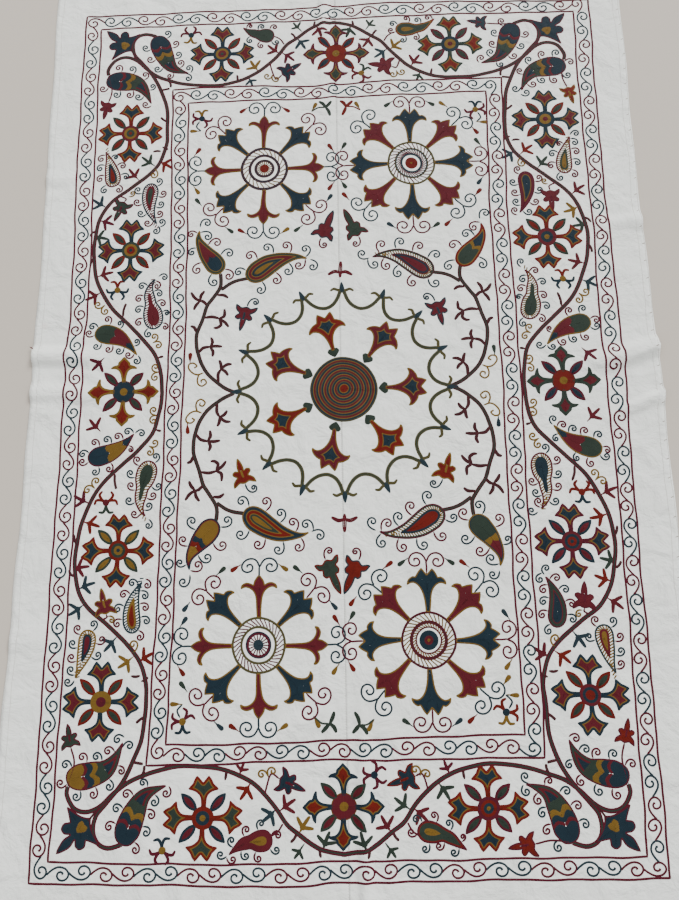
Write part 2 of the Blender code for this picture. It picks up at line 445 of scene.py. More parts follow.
def chain_stitch_group():
    """Chain stitch along a row: strands that swell and meet stitch by stitch, with painted shade between
    them.
    """
    group = new_group("chain_stitch", (
        ("Stitch length", "INPUT", "Float", STITCH),
        ("Height", "OUTPUT", "Float", None),
        ("Shade", "OUTPUT", "Float", None),
    ))
    given = group.nodes.new("NodeGroupInput")
    along = add_node(group, "ShaderNodeAttribute", attribute_name="along").outputs["Fac"]
    across = add_node(group, "ShaderNodeAttribute", attribute_name="across").outputs["Fac"]
    place = add_node(group, "ShaderNodeTexCoord").outputs["Object"]
    off_middle = math_node(group, "ABSOLUTE", math_node(group, "SUBTRACT", across, 0.5))
    count = math_node(group, "DIVIDE", along, given.outputs["Stitch length"])
    phase = math_node(group, "SUBTRACT", count, off_middle)
    swell = math_node(group, "ABSOLUTE", math_node(group, "SINE", math_node(group, "MULTIPLY", phase, pi)))
    groove = ranged(group, off_middle, 0.0, 0.2, 0.45, 1.0)
    edge = ranged(group, off_middle, 0.25, 0.5, 1.0, 0.25)
    height = math_node(group, "MULTIPLY", math_node(group, "MULTIPLY", swell, groove), edge)
    dye_lots = math_node(group, "MULTIPLY", noise(group, place, 26.0, 3.0), 0.55)
    fibres = math_node(group, "MULTIPLY", noise(group, place, 420.0, 2.0), 0.45)
    # Painted shade where the stitch's relief is low, between strands and at the row's edges, and uneven dye
    ridge = math_node(group, "MULTIPLY_ADD", height, 0.45, math_node(group, "ADD", dye_lots, fibres))
    shade = ranged(group, ridge, 0.38, 0.95, 0.0, 1.0)
    end = group.nodes.new("NodeGroupOutput")
    group.links.new(height, end.inputs["Height"])
    group.links.new(shade, end.inputs["Shade"])
    return group


CHAIN_STITCH = chain_stitch_group()
thread_materials = {}


def thread_material(name):
    """Dyed thread, dull with a low sheen, with painted shade between its strands, uneven from length to
    length.
    """
    if name not in thread_materials:
        material = bpy.data.materials.new(name + "_thread")
        material.use_nodes = True
        tree = material.node_tree
        shader = tree.nodes["Principled BSDF"]
        stitch = add_node(tree, "ShaderNodeGroup", node_tree=CHAIN_STITCH)
        dye_and_shade = THREADS[name]
        # Painted shade and uneven dye: the dark colour where the stitch's Shade is low, the light where high
        colour = mixed(tree, stitch.outputs["Shade"], dye_and_shade.dark + (1.0,), dye_and_shade.light + (1.0,))
        tree.links.new(colour, shader.inputs["Base Color"])
        bump = add_node(tree, "ShaderNodeBump", {"Height": stitch.outputs["Height"], "Distance": STITCH_BUMP})
        tree.links.new(bump.outputs[0], shader.inputs["Normal"])
        shader.inputs["Roughness"].default_value = THREAD_ROUGHNESS
        shader.inputs["Sheen Weight"].default_value = THREAD_SHEEN
        shader.inputs["Specular IOR Level"].default_value = THREAD_SHINE
        thread_materials[name] = material
    return thread_materials[name]


def row_tree():
    """Geometry nodes that turn drawn lines into rows of thread: low arches, as wide as each line says."""
    tree = bpy.data.node_groups.new("chain_stitch_rows", "GeometryNodeTree")
    tree.interface.new_socket("Lines", in_out="INPUT", socket_type="NodeSocketGeometry")
    for label, value in (("Crown", ROW_CROWN), ("Sink", ROW_SINK)):
        socket = tree.interface.new_socket(label, in_out="INPUT", socket_type="NodeSocketFloat")
        socket.default_value = value
    tree.interface.new_socket("Thread", in_out="INPUT", socket_type="NodeSocketMaterial")
    tree.interface.new_socket("Rows", in_out="OUTPUT", socket_type="NodeSocketGeometry")
    given = tree.nodes.new("NodeGroupInput")

    def named(attribute, geometry, value):
        store = add_node(tree, "GeometryNodeStoreNamedAttribute", data_type="FLOAT", domain="POINT")
        store.inputs["Name"].default_value = attribute
        tree.links.new(geometry, store.inputs["Geometry"])
        tree.links.new(value, store.inputs["Value"])
        return store.outputs["Geometry"]

    lines = add_node(tree, "GeometryNodeMeshToCurve", {"Mesh": given.outputs["Lines"]}).outputs[0]
    upright = add_node(tree, "GeometryNodeSetCurveNormal", {"Curve": lines}, mode="Z_UP").outputs[0]
    width = add_node(tree, "GeometryNodeInputNamedAttribute", {"Name": "row_width"}, data_type="FLOAT")
    spline = add_node(tree, "GeometryNodeSplineParameter")
    measured = named("along", upright, spline.outputs["Length"])

    sunk = given.outputs["Sink"]
    peak = math_node(tree, "SUBTRACT", math_node(tree, "MULTIPLY", given.outputs["Crown"], -2.0), sunk)
    corners = {
        "Start": add_node(tree, "ShaderNodeCombineXYZ", {"X": -0.5, "Y": sunk}).outputs[0],
        "Middle": add_node(tree, "ShaderNodeCombineXYZ", {"X": 0.0, "Y": peak}).outputs[0],
        "End": add_node(tree, "ShaderNodeCombineXYZ", {"X": 0.5, "Y": sunk}).outputs[0],
        "Resolution": 3,
    }
    arch = add_node(tree, "GeometryNodeCurveQuadraticBezier", corners).outputs[0]
    arch = named("across", arch, add_node(tree, "GeometryNodeSplineParameter").outputs["Factor"])
    sweep = {"Curve": measured, "Profile Curve": arch, "Scale": width.outputs[0]}
    ribbons = add_node(tree, "GeometryNodeCurveToMesh", sweep).outputs[0]
    smooth = add_node(tree, "GeometryNodeSetShadeSmooth", {"Geometry": ribbons}).outputs[0]
    real = add_node(tree, "GeometryNodeRealizeInstances", {"Geometry": smooth}).outputs[0]
    dyed = add_node(tree, "GeometryNodeSetMaterial", {"Geometry": real, "Material": given.outputs["Thread"]})
    end = tree.nodes.new("NodeGroupOutput")
    tree.links.new(dyed.outputs[0], end.inputs["Rows"])
    return tree


CHAIN_ROWS = row_tree()
ROW_SOCKETS = {item.name: item.identifier for item in CHAIN_ROWS.interface.items_tree}


def by_hand(points):
    """Moves drawn points a little, as no hand draws the same motif twice alike."""
    x, y = points[:, 0], points[:, 1]
    shift_x = 0.9 * np.sin(y / 31 + 1.1) + 0.8 * np.sin((x + y) / 53 + 0.3) + 0.5 * np.sin(y / 13 + x / 47)
    shift_y = 0.9 * np.sin(x / 29 + 2.3) + 0.8 * np.sin((x - y) / 59 + 1.7) + 0.5 * np.sin(x / 14 + y / 41)
    return points + np.column_stack((shift_x, shift_y))


def stitch_points(points, closed):
    """Fewer points for a row: one where it has turned enough, or where the last is far behind."""
    legs = np.diff(points, axis=0)
    lengths = np.hypot(legs[:, 0], legs[:, 1])
    points = points[np.append(True, lengths > 1e-4)]
    legs, lengths = legs[lengths > 1e-4], lengths[lengths > 1e-4]
    bends = np.diff(np.unwrap(np.arctan2(legs[:, 1], legs[:, 0])))
    kept, turned, travelled = [0], 0.0, 0.0
    for k in range(1, len(points) - 1):
        turned += bends[k - 1]
        travelled += lengths[k - 1]
        if abs(turned) > TURN_PER_STEP or travelled + lengths[k] > LONGEST_STEP:
            kept.append(k)
            turned, travelled = 0.0, 0.0
    if not closed:
        kept.append(len(points) - 1)
    return points[kept]


def stitched(rows, thread):
    """One mesh of all the rows of one thread, made by the geometry nodes from their lines."""
    places, edges, widths = [], [], []
    for row in rows:
        points = stitch_points(by_hand(row.points), row.closed)
        first, count = len(widths), len(points)
        taper = np.ones(count)
        if not row.closed and count > 2:
            taper[[0, -1]] = ROW_END
        places.extend(points * MM)
        widths.extend(taper * row.width * MM)
        edges.extend((first + k, first + k + 1) for k in range(count - 1))
        if row.closed:
            edges.append((first + count - 1, first))
    drawn = bpy.data.meshes.new("drawn_lines")
    drawn.from_pydata([(x, y, 0.0) for x, y in places], edges, [])
    drawn.attributes.new("row_width", "FLOAT", "POINT").data.foreach_set("value", widths)
    piece = bpy.data.objects.new(thread, drawn)
    bpy.context.scene.collection.objects.link(piece)
    sewing = piece.modifiers.new("Chain stitch", "NODES")
    sewing.node_group = CHAIN_ROWS
    sewing[ROW_SOCKETS["Crown"]] = ROW_CROWN
    sewing[ROW_SOCKETS["Sink"]] = ROW_SINK
    sewing[ROW_SOCKETS["Thread"]] = thread_material(thread)
    bpy.context.view_layer.update()
    mesh = bpy.data.meshes.new_from_object(piece.evaluated_get(bpy.context.evaluated_depsgraph_get()))
    piece.modifiers.clear()
    piece.data = mesh
    return piece


CLEARANCE = 3.5
taken = set()


def cells(points):
    """The squares of the cloth that a line runs through, to keep later lines clear of it."""
    return set(map(tuple, np.floor(points / CLEARANCE).astype(int)))


def sewn(name, rows):
    """One piece of embroidery: its rows in every thread, joined, laid on the cloth and fixed to it."""
    for row in rows:
        taken.update(cells(row.points))
    threads = sorted({row.thread for row in rows})
    parts = [stitched([row for row in rows if row.thread == thread], thread) for thread in threads]
    with bpy.context.temp_override(active_object=parts[0], selected_editable_objects=parts):
        bpy.ops.object.join()
    piece = parts[0]
    piece.name = name
    mesh = piece.data
    mesh.name = name
    places = places_of(mesh)
    places[:, 2] += cloth_top(places[:, 0], places[:, 1])
    mesh.vertices.foreach_set("co", places.ravel())
    flat_map(mesh)
    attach(piece, "root")
    return piece


def smooth_line(points, step=1.0):
    """A smooth line through given points, sampled about every millimetre."""
    points = np.array(points, float)
    longer = np.vstack((2 * points[0] - points[1], points, 2 * points[-1] - points[-2]))
    line = []
    for a, b, c, d in zip(longer, longer[1:], longer[2:], longer[3:]):
        count = max(2, ceil(np.hypot(*(c - b)) / step))
        t = np.arange(count)[:, None] / count
        straight = 2 * b + (c - a) * t
        line.append(0.5 * (straight + (2 * a - 5 * b + 4 * c - d) * t ** 2 + (3 * (b - c) + d - a) * t ** 3))
    return np.vstack(line + [points[-1]])


SEAM_STITCH_GAP = 5.5
SEAM_THREAD = 1.5
SEAM_REACH = 3.2

seam_rows = []
for k in range(int(CLOTH_LENGTH / MM / SEAM_STITCH_GAP)):
    y = CLOTH_LENGTH / MM / 2 - SEAM_STITCH_GAP * (k + 0.5)
    x = seam_x(y * MM) / MM
    slant = np.array(((-SEAM_REACH, 1.1), (SEAM_REACH, -1.1))) + (x, y)
    seam_rows.append(Row(slant, False, "cotton", SEAM_THREAD))
sewn("seam_stitches", seam_rows)


# The selvedges: the outermost threads of each width are beaten closer, which shows as two raised lines along
# each side. A few ends of the weft stand out on the right, and one loose end of red thread is left on the
# left.
SELVEDGE_LINES = 2.5, 18.0
SELVEDGE_END = 1205.0
SELVEDGE_THREAD = 1.6
WEFT_END_GAP = 47.0
WEFT_END_REACH = 1180.0
WEFT_END = (-9.0, 0.0), (-3.0, 2.5)
WEFT_END_THREAD = 1.8
LOOSE_THREAD = 3.0
LOOSE_END = (-794, 131), (-788, 128), (-783, 124)

selvedge_rows = []
for points, inward in ((LEFT_SELVEDGE, 1), (RIGHT_SELVEDGE, -1)):
    for inset in SELVEDGE_LINES:
        ys = np.arange(-SELVEDGE_END, SELVEDGE_END + 1.0, 8.0)
        xs = np.array([selvedge_x(points, y * MM) / MM for y in ys]) + inset * inward
        selvedge_rows.append(Row(np.column_stack((xs, ys)), False, "cotton", SELVEDGE_THREAD))
for y in np.arange(-WEFT_END_REACH, WEFT_END_REACH + 1.0, WEFT_END_GAP):
    x = selvedge_x(RIGHT_SELVEDGE, y * MM) / MM
    selvedge_rows.append(Row(np.array(WEFT_END) + (x, y), False, "brown", WEFT_END_THREAD))
selvedge_rows.append(Row(smooth_line(LOOSE_END), False, "wine", LOOSE_THREAD))
sewn("selvedges", selvedge_rows)


# The border lines: four frames of one row of wine-red chain stitch each, worked first to part the cloth into
# a field, a wide border and two narrow ones. Each row is drawn by hand, so it wanders a little.
# Corners and middles of each frame, clockwise from its top left corner
BORDER_LINES = (
    ((-704, 1118), (-350, 1119), (-70, 1119), (-13, 1123), (12, 1119), (150, 1127), (420, 1119),
     (712, 1110), (706, 600), (713, 60), (706, -320),
     (704, -1116), (300, -1119), (0, -1124), (-160, -1131),
     (-706, -1124), (-702, -560), (-698, -40), (-701, 110), (-695, 250), (-704, 700)),
    ((-660, 1076), (-200, 1078), (-33, 1078), (-12, 1082), (4, 1078), (150, 1083), (548, 1078),
     (667, 1075), (664, 770), (668, 453), (664, 134), (669, -319),
     (660, -1072), (300, -1077), (0, -1081), (-300, -1087),
     (-664, -1080), (-656, -558), (-653, -100), (-656, 134), (-651, 250), (-656, 650)),
    ((-449, 872), (-292, 875), (-60, 868), (-4, 874), (20, 870), (150, 876),
     (457, 874), (450, 453), (455, 100), (451, -359), (455, -600),
     (453, -867), (150, -872), (0, -870), (-292, -878),
     (-451, -880), (-441, -518), (-438, -80), (-434, 94), (-436, 293), (-445, 692)),
    ((-405, 828), (-150, 830), (-50, 829), (-4, 832), (20, 829), (150, 832),
     (413, 834), (405, 453), (410, 100), (407, -319),
     (411, -819), (150, -825), (0, -829), (-150, -834),
     (-409, -837), (-403, -638), (-395, -90), (-393, 213), (-396, 453), (-401, 692)),
)
FRAME_CORNERS = (-1, 1), (1, 1), (1, -1), (-1, -1)


def framed(points):
    """A closed frame through these points: smooth along each side, and sharp at its four corners."""
    points = np.array(points, float)
    corners = [int(np.argmax(points @ np.array(corner))) for corner in FRAME_CORNERS]
    stops = corners + [len(points)]
    ring = np.vstack((points, points[:1]))
    sides = [smooth_line(ring[low:high + 1], step=3.0)[:-1] for low, high in zip(stops, stops[1:])]
    return np.vstack(sides + [points[:1]])


sewn("border_lines", [Row(framed(points), False, "wine", LINE) for points in BORDER_LINES])


# The narrow borders: a running scroll between each pair of lines, in one row of chain stitch. Every stroke
# unwinds from a small spiral and swings over to the flank of the next, and the thread changes at every second
# one.
Scroll = namedtuple("Scroll", "half_width half_length across along outer inner phases")
SCROLLS = (
    Scroll(682, 1099, 28, 50, 0, 1, (0, 0, 1, 0)),
    Scroll(429, 851, 18, 40, 2, 3, (0, 0, 0, 0)),
)
SCROLL_PITCH = 43.0
SCROLL_OFFSET = 3.2
SCROLL_SEARCH = 70
SCROLL_ROW = 5.6
SCROLL_STROKE = (
    (-1, 0.5), (-3, 3.2), (1.5, 6), (6.8, 3.6), (8.4, -3), (5.2, -9), (-1, -11.4), (-8, -9.6), (-13.4, -3.2),
    (-13.8, 5), (-8, 12.6), (1.5, 16), (11, 14.2), (21, 7.6), (29.5, -0.5),
)


def middle_between(centre, forward, outward, lines):
    """How far outward of this place the middle lies between two border lines."""
    sides = []
    for line in lines:
        off = line - centre
        near = np.abs(off @ outward) < SCROLL_SEARCH
        ahead = np.abs(off[near] @ forward)
        sides.append((off[near] @ outward)[ahead.argmin()])
    return (sides[0] + sides[1]) / 2


scroll_rows = []
for scroll in SCROLLS:
    lines = [framed(BORDER_LINES[scroll.outer]), framed(BORDER_LINES[scroll.inner])]
    corners = [(x * scroll.half_width, y * scroll.half_length) for x, y in FRAME_CORNERS]
    turn = 0
    for side, (start, stop) in enumerate(zip(corners, corners[1:] + corners[:1])):
        count = scroll.along if side % 2 else scroll.across
        run = np.array(stop, float) - start
        pitch = np.hypot(*run) / count
        forward = run / np.hypot(*run)
        outward = np.array((-forward[1], forward[0]))
        stroke = smooth_line(SCROLL_STROKE, step=0.9) * (pitch / SCROLL_PITCH, 1.0) - (0.0, SCROLL_OFFSET)
        for k in range(count):
            flip = -1 if turn % 2 else 1
            centre = start + forward * pitch * k
            if k > 0:
                centre = centre + outward * middle_between(centre, forward, outward, lines)
            points = centre + np.outer(stroke[:, 0], forward) + np.outer(stroke[:, 1] * flip, outward)
            thread = ("wine", "slate")[(turn + 1 + scroll.phases[side]) // 2 % 2]
            scroll_rows.append(Row(points, False, thread, SCROLL_ROW))
            turn += 1
sewn("running_scrolls", scroll_rows)


# The main vine: a stem of three rows that winds round the wide border. One pair of stems leaves the middle of
# each long side and another the middle of each end, and each stem ends at the head of a corner boteh.
STEM_ROW = 5.0
VINE_WIDTH = 3.3
THORN = 8.0
RIGHT_BORDER = 440
RIGHT_SHIFT = 14.0
RIGHT_SHIFT_REACH = 420.0
QUARTERS = (-1, 1), (1, 1), (-1, -1), (1, -1)

SIDE_STEM = (
    (-447, -5), (-451, 46), (-467, 102), (-499, 142), (-539, 182), (-587, 230), (-623, 293), (-641, 357),
    (-644, 421), (-631, 485), (-603, 532), (-555, 572), (-507, 612), (-475, 652), (-459, 700), (-459, 740),
    (-463, 804), (-471, 843), (-491, 891), (-515, 931), (-543, 963), (-563, 987), (-567, 1019), (-555, 1043),
    (-531, 1052), (-499, 1044),
)
END_STEM = (
    (6, 1068), (-43, 1060), (-70, 1047), (-103, 1023), (-130, 1003), (-153, 973), (-177, 947), (-203, 923),
    (-233, 905), (-270, 890), (-317, 882), (-370, 882), (-420, 890), (-451, 899), (-491, 915), (-523, 939),
    (-555, 967), (-587, 979), (-615, 971), (-633, 943), (-631, 923),
)
VINE_THORNS = (
    ((-461, 774), (-470, 779), (-480, 788)),
    ((-473, 682), (-484, 684), (-495, 682)),
    ((-470, 695), (-461, 692), (-454, 686)),
    ((-641, 380), (-650, 366), (-652, 352)),
    ((-557, 206), (-557, 224), (-552, 243)),
    ((-267, 890), (-268, 901), (-270, 912)),
    ((-55, 1054), (-54, 1064), (-52, 1074)),
    ((-482, 873), (-470, 875), (-458, 877)),
    ((-462, 904), (-456, 892), (-455, 880)),
    ((-642, 452), (-652, 446), (-658, 436)),
    ((-106, 1020), (-112, 1032), (-120, 1040)),
    ((-459, 95), (-453, 97), (-446, 98)),
)


def offset_line(points, by):
    """A line beside another, to its left by this much."""
    legs = np.gradient(points, axis=0)
    legs = legs / np.maximum(np.hypot(legs[:, 0], legs[:, 1]), 1e-9)[:, None]
    return points + by * np.column_stack((-legs[:, 1], legs[:, 0]))


def stem_rows(points, threads, spacing=VINE_WIDTH):
    """A stem with one row for each thread named, side by side."""
    line = smooth_line(points)
    rows = []
    for k, thread in enumerate(threads):
        aside = -spacing * (len(threads) - 1) / 2 + spacing * k
        rows.append(Row(offset_line(line, aside), False, thread, STEM_ROW))
    return rows


def mirrored(points, quarter):
    """What is drawn for the top left quarter, in another one. The right-hand border lies further out."""
    points = np.array(points, float) * (-quarter[0], quarter[1])
    further_out = RIGHT_SHIFT * np.exp(-(points[..., 1] / RIGHT_SHIFT_REACH) ** 2)
    points[..., 0] += further_out * (points[..., 0] > RIGHT_BORDER)
    return points


def polar(radius, heading):
    """The place at this distance and heading, in degrees."""
    return radius * cos(radians(heading)), radius * sin(radians(heading))


vine_rows = []
vine_lines = []
for quarter in QUARTERS:
    for stem in (SIDE_STEM, END_STEM):
        vine_rows += stem_rows(mirrored(stem, quarter), ("wine", "green", "wine"))
        vine_lines.append(smooth_line(mirrored(stem, quarter)))
    for thorn in VINE_THORNS:
        vine_rows.append(Row(smooth_line(mirrored(thorn, quarter)), False, "bark", THORN))
vine_points = np.vstack(vine_lines)
sewn("main_vine", vine_rows)


# The rosettes: sixteen round flowers that fill the bays of the vine. Each has four petals, four plain leaves
# between them and a round heart, all filled with rows that follow their outlines inwards. The petals are
# notched, or pointed where the rosette stands at the middle of a side.
DEPTH_CELL = 0.9
EDGE_STEP = 1.1
FIRST_ROW = 2.0
SMALLEST_RING = 0.6
POCKET = 30


def evenly(points, step, closed=False):
    """The same line with its points at even distances."""
    if closed:
        points = np.vstack((points, points[:1]))
    travelled = np.append(0.0, np.cumsum(np.hypot(*np.diff(points, axis=0).T)))
    places = np.linspace(0.0, travelled[-1], max(3, ceil(travelled[-1] / step)) + 1)
    if closed:
        places = places[:-1]
    return np.column_stack([np.interp(places, travelled, axis) for axis in points.T])


def drawn(points):
    """A smooth line through given points. A point that is given twice running is a corner."""
    runs = [[points[0]]]
    for last, point in zip(points, points[1:]):
        if point == last:
            runs.append([])
        runs[-1].append(point)
    return np.vstack([smooth_line(run) for run in runs])


def outline_of(half):
    """The whole outline of a motif that is the same on both sides of its axis, from one half of it."""
    line = drawn(half)
    return np.vstack((line, line[::-1] * (1, -1)))


def depth_grid(outline):
    """How deep each point of a grid lies inside the outline, and the grid's low corner."""
    low = outline.min(0) - 2 * DEPTH_CELL
    columns, rows = np.ceil((outline.max(0) - low) / DEPTH_CELL).astype(int) + 3
    grid_x = low[0] + DEPTH_CELL * np.arange(columns)[:, None, None]
    grid_y = low[1] + DEPTH_CELL * np.arange(rows)[None, :, None]
    edge = evenly(outline, EDGE_STEP, closed=True)
    after = np.roll(edge, -1, axis=0)
    distance = np.sqrt(((grid_x - edge[:, 0]) ** 2 + (grid_y - edge[:, 1]) ** 2).min(axis=2))
    rise = np.where(after[:, 1] == edge[:, 1], 1e-9, after[:, 1] - edge[:, 1])
    spans = (edge[:, 1] > grid_y) != (after[:, 1] > grid_y)
    crossing_x = edge[:, 0] + (grid_y - edge[:, 1]) * (after[:, 0] - edge[:, 0]) / rise
    inside = (spans & (grid_x < crossing_x)).sum(axis=2) % 2 == 1
    return np.where(inside, distance, -distance), low


def level_lines(depth, level, low):
    """The closed lines that run at one depth through the grid."""
    above = (depth > level).astype(int)
    total = above[:-1, :-1] + above[1:, :-1] + above[1:, 1:] + above[:-1, 1:]
    links = {}
    for i, j in zip(*np.nonzero((total > 0) & (total < 4))):
        corners = (i, j), (i + 1, j), (i + 1, j + 1), (i, j + 1)
        crossed = []
        for start, stop in zip(corners, corners[1:] + corners[:1]):
            if above[start] != above[stop]:
                crossed.append((start, stop) if start < stop else (stop, start))
        for a, b in zip(crossed[::2], crossed[1::2]):
            links.setdefault(a, []).append(b)
            links.setdefault(b, []).append(a)
    lines = []
    while links:
        edge = next(iter(links))
        loop = []
        while edge in links:
            following = links.pop(edge)
            start, stop = edge
            share = (level - depth[start]) / (depth[stop] - depth[start])
            loop.append(np.array(start) + share * (np.array(stop) - start))
            edge = next((step for step in following if step in links), None)
        if len(loop) > 3:
            lines.append(low + DEPTH_CELL * np.array(loop))
    return lines


def cut_by_thread(line, threads):
    """Rows from a closed line whose thread changes along it."""
    threads = np.array(threads, object)
    changes = np.nonzero(threads != np.roll(threads, 1))[0]
    if len(changes) == 0:
        return [Row(line, True, threads[0], FILL)] if threads[0] else []
    rows = []
    for start, stop in zip(changes, np.append(changes[1:], changes[0] + len(line))):
        if threads[start]:
            rows.append(Row(line[np.arange(start - 1, stop + 2) % len(line)], False, threads[start], FILL))
    return rows


def thread_list(text):
    """The threads named in a line of words. A dash leaves the cloth bare."""
    return [None if word == "-" else word for word in text.split()]


def filled(outline, plan, choose=None):
    """Rows that fill an outline from its edge inwards, and the small pockets left between them. The plan
    names the thread of each, and the last for all the rest. Choose can change it from point to point."""
    depth, low = depth_grid(outline)
    plan = thread_list(plan)
    rows = []
    for half_step in range(2 * ceil((depth.max() - FIRST_ROW) / PITCH)):
        k = half_step // 2
        thread = plan[min(k, len(plan) - 1)]
        for line in level_lines(depth, FIRST_ROW + half_step * PITCH / 2, low):
            if half_step % 2 == 0 or (thread and len(line) < POCKET):
                rows += cut_by_thread(line, choose(line, k, thread) if choose else [thread] * len(line))
    return rows


def ring(radius, thread, width=FILL, x=0.0, y=0.0):
    """One closed row round x, y."""
    angle = np.linspace(0.0, 2 * pi, max(8, ceil(radius * 2)), endpoint=False)
    return Row(np.column_stack((x + radius * np.cos(angle), y + radius * np.sin(angle))), True, thread, width)


def disc(radius, threads):
    """Rings from the radius inwards, shared out evenly between the threads from the outside in."""
    radii = np.arange(radius - FIRST_ROW, SMALLEST_RING, -PITCH)
    return [ring(r, threads[int(k * len(threads) / len(radii))]) for k, r in enumerate(radii)]


def placed(rows, x, y, heading=0.0, size=1.0, **dyes):
    """Rows moved to x, y and turned to a heading. Dyes gives each part of the motif its thread."""
    c, s = polar(size, heading)
    turn = np.array(((c, s), (-s, c)))
    moved = []
    for row in rows:
        thread = dyes.get(row.thread, row.thread)
        moved.append(Row(row.points @ turn + (x, y), row.closed, thread, row.width))
    return moved


NOTCHED_PETAL = (
    (22, 5.5), (34, 6), (44, 7.5), (51, 12), (57, 22), (60, 38), (60, 38), (67, 30), (73, 24), (73, 24),
    (82, 20), (91, 14), (91, 14), (84, 7), (76, 0),
)
POINTED_PETAL = (
    (22, 5.5), (36, 6.5), (48, 9), (56, 14), (60, 22), (60, 38), (60, 38), (67, 29), (71, 16), (71, 16),
    (77, 15), (83, 9), (93, 0),
)
ROSETTE_LEAF = (23, 3.6), (32, 8.6), (44, 11), (57, 9.4), (75, 0)
ROSETTE_HEART = 25
POINTED_HEART = 28
POINTED_HEART_RING = 3.4
MIDDLE_OF_SIDE = 50

# The threads of a rosette's petals and leaves, in the order of ROSETTE_PARTS, and those of its heart
ROSETTE_PARTS = "edge", "line", "fill", "leaf_edge", "leaf_fill"
Rosette = namedtuple("Rosette", "x y threads heart")
ROSETTES = (
    Rosette(-314, 981, "navy gold rose rust green", "navy gold rose green"),
    Rosette(-561, 740, "rust gold navy green rust", "rose gold green rust"),
    Rosette(-545, 393, "navy gold rose rust green", "green gold rust navy"),
    Rosette(-547, 6, "gold rust rust wine green", "navy navy gold"),
    Rosette(-542, -393, "rust gold navy green gold", "rust green gold navy"),
    Rosette(-565, -741, "navy gold rose rust green", "gold gold wine rose"),
    Rosette(-320, -991, "rust gold green navy rose", "rust navy gold"),
    Rosette(-3, -969, "navy gold rust green rose", "rose rose gold"),
    Rosette(319, -973, "rust gold navy wine green", "wine rust navy gold"),
    Rosette(564, -735, "navy gold rose rust green", "rose navy rust rust"),
    Rosette(549, -387, "wine gold navy navy rose", "rose navy rust navy"),
    Rosette(560, 10, "green green rose wine navy", "rust rust gold"),
    Rosette(547, 399, "rust gold navy green rust", "rose navy gold"),
    Rosette(567, 742, "navy gold rose rust green", "navy gold wine"),
    Rosette(321, 985, "green gold rust wine green", "navy gold wine"),
    Rosette(5, 969, "wine gold green rust navy", "rust rust gold"),
)

notched_petal = filled(outline_of(NOTCHED_PETAL), "edge edge line fill")
pointed_petal = filled(outline_of(POINTED_PETAL), "edge edge line fill")
rosette_leaf = filled(outline_of(ROSETTE_LEAF), "leaf_edge leaf_edge leaf_fill")
rosette_rows = []
for rosette in ROSETTES:
    petal, flower = notched_petal, disc(ROSETTE_HEART, rosette.heart.split())
    if min(abs(rosette.x), abs(rosette.y)) < MIDDLE_OF_SIDE:
        petal, flower = pointed_petal, disc(POINTED_HEART, rosette.heart.split())
        flower.append(ring(POINTED_HEART, "line", POINTED_HEART_RING))
    for heading in (0, 90, 180, 270):
        flower += placed(petal, 0, 0, heading)
        flower += placed(rosette_leaf, 0, 0, heading + 45)
    dyes = dict(zip(ROSETTE_PARTS, rosette.threads.split()))
    rosette_rows += placed(flower, rosette.x, rosette.y, **dyes)
sewn("rosettes_top", [row for row in rosette_rows if row.points[0, 1] > 0])
sewn("rosettes_foot", [row for row in rosette_rows if row.points[0, 1] <= 0])


# The four corner tulips, which point out to the corners of the wide border from where its stems part. Each is
# filled with navy rows inside a wine edge, has a gold heart and stands on a short brown stem.
CORNER_TULIP = (
    (-6, 0), (3, 8), (11, 22), (17, 44), (20, 70), (20, 70), (29, 49), (39, 31), (39, 31), (52, 40), (65, 35),
    (67, 21), (58, 9), (58, 9), (76, 13), (95, 8), (113, 0),
)
CORNER_PLACES = (-573, 1001), (573, 1001), (-577, -994), (577, -992)
CORNER_TULIP_SIZE = 0.9
CORNER_TULIP_STEM = 6.0
TULIP_HEART = (30, 0, 13)


def heart_inlay(points, k, thread):
    """A pointed gold heart in the middle of a corner tulip."""
    x, y, radius = TULIP_HEART
    near = np.hypot(points[:, 0] - x + 0.5 * np.abs(points[:, 1]), points[:, 1]) < radius
    return ["gold" if found else thread for found in near]


corner_tulip = filled(outline_of(CORNER_TULIP), "wine navy", heart_inlay)
tulip_rows = []
for (side_x, side_y), (x, y) in zip(QUARTERS, CORNER_PLACES):
    heading = degrees(atan2(side_y, side_x))
    tulip_rows += placed(corner_tulip, x, y, heading, CORNER_TULIP_SIZE)
    stem = smooth_line(((x - 22 * side_x, y - 30 * side_y), (x + 4 * side_x, y + 5 * side_y)))
    tulip_rows.append(Row(stem, False, "bark", CORNER_TULIP_STEM))
sewn("corner_tulips", tulip_rows)


# The corner botehs, bent drops, two in each corner of the wide border. They are filled with rows in scalloped
# bands of several threads inside a wine edge, and curled hairs of one row stand round them.
WIDEST_AT = 0.2
HAIR = 5.4
HAIR_LEAN = 16
HAIR_ROOT = 9
HAIR_SIZES = 1.0, 0.86, 0.74
WOUND_PER_TURN = 3.12
CURL_STEP = 0.7
CURL_CLOSING = 0.8
RUNG = 4.0
RUNG_GAP = 7
RUNG_LEAN = 5
PINCH_AT = 0.46
PINCH_WIDTH = 0.09
Boteh = namedtuple("Boteh", "spine half_width plan bands rung_thread hair_radius hair_first hair_gap pinch")


def boteh_outline(spine, half_width, pinch):
    """The outline round a bent spine, from the head down its left side to the tail and back up its right.
    Pinch is how much of its width a waist behind the head takes away."""
    t = np.linspace(0.0, 1.0, len(spine))
    head = np.sqrt(np.clip(1.0 - ((t - WIDEST_AT) / WIDEST_AT) ** 2, 0.0, 1.0))
    tail = (0.5 + 0.5 * np.cos(pi * (t - WIDEST_AT) / (1.0 - WIDEST_AT))) ** 0.8
    waist = 1.0 - pinch * np.exp(-((t - PINCH_AT) / PINCH_WIDTH) ** 2)
    reach = half_width * (waist * np.where(t < WIDEST_AT, head, tail))[:, None]
    return np.vstack((offset_line(spine, reach), offset_line(spine, -reach)[::-1]))


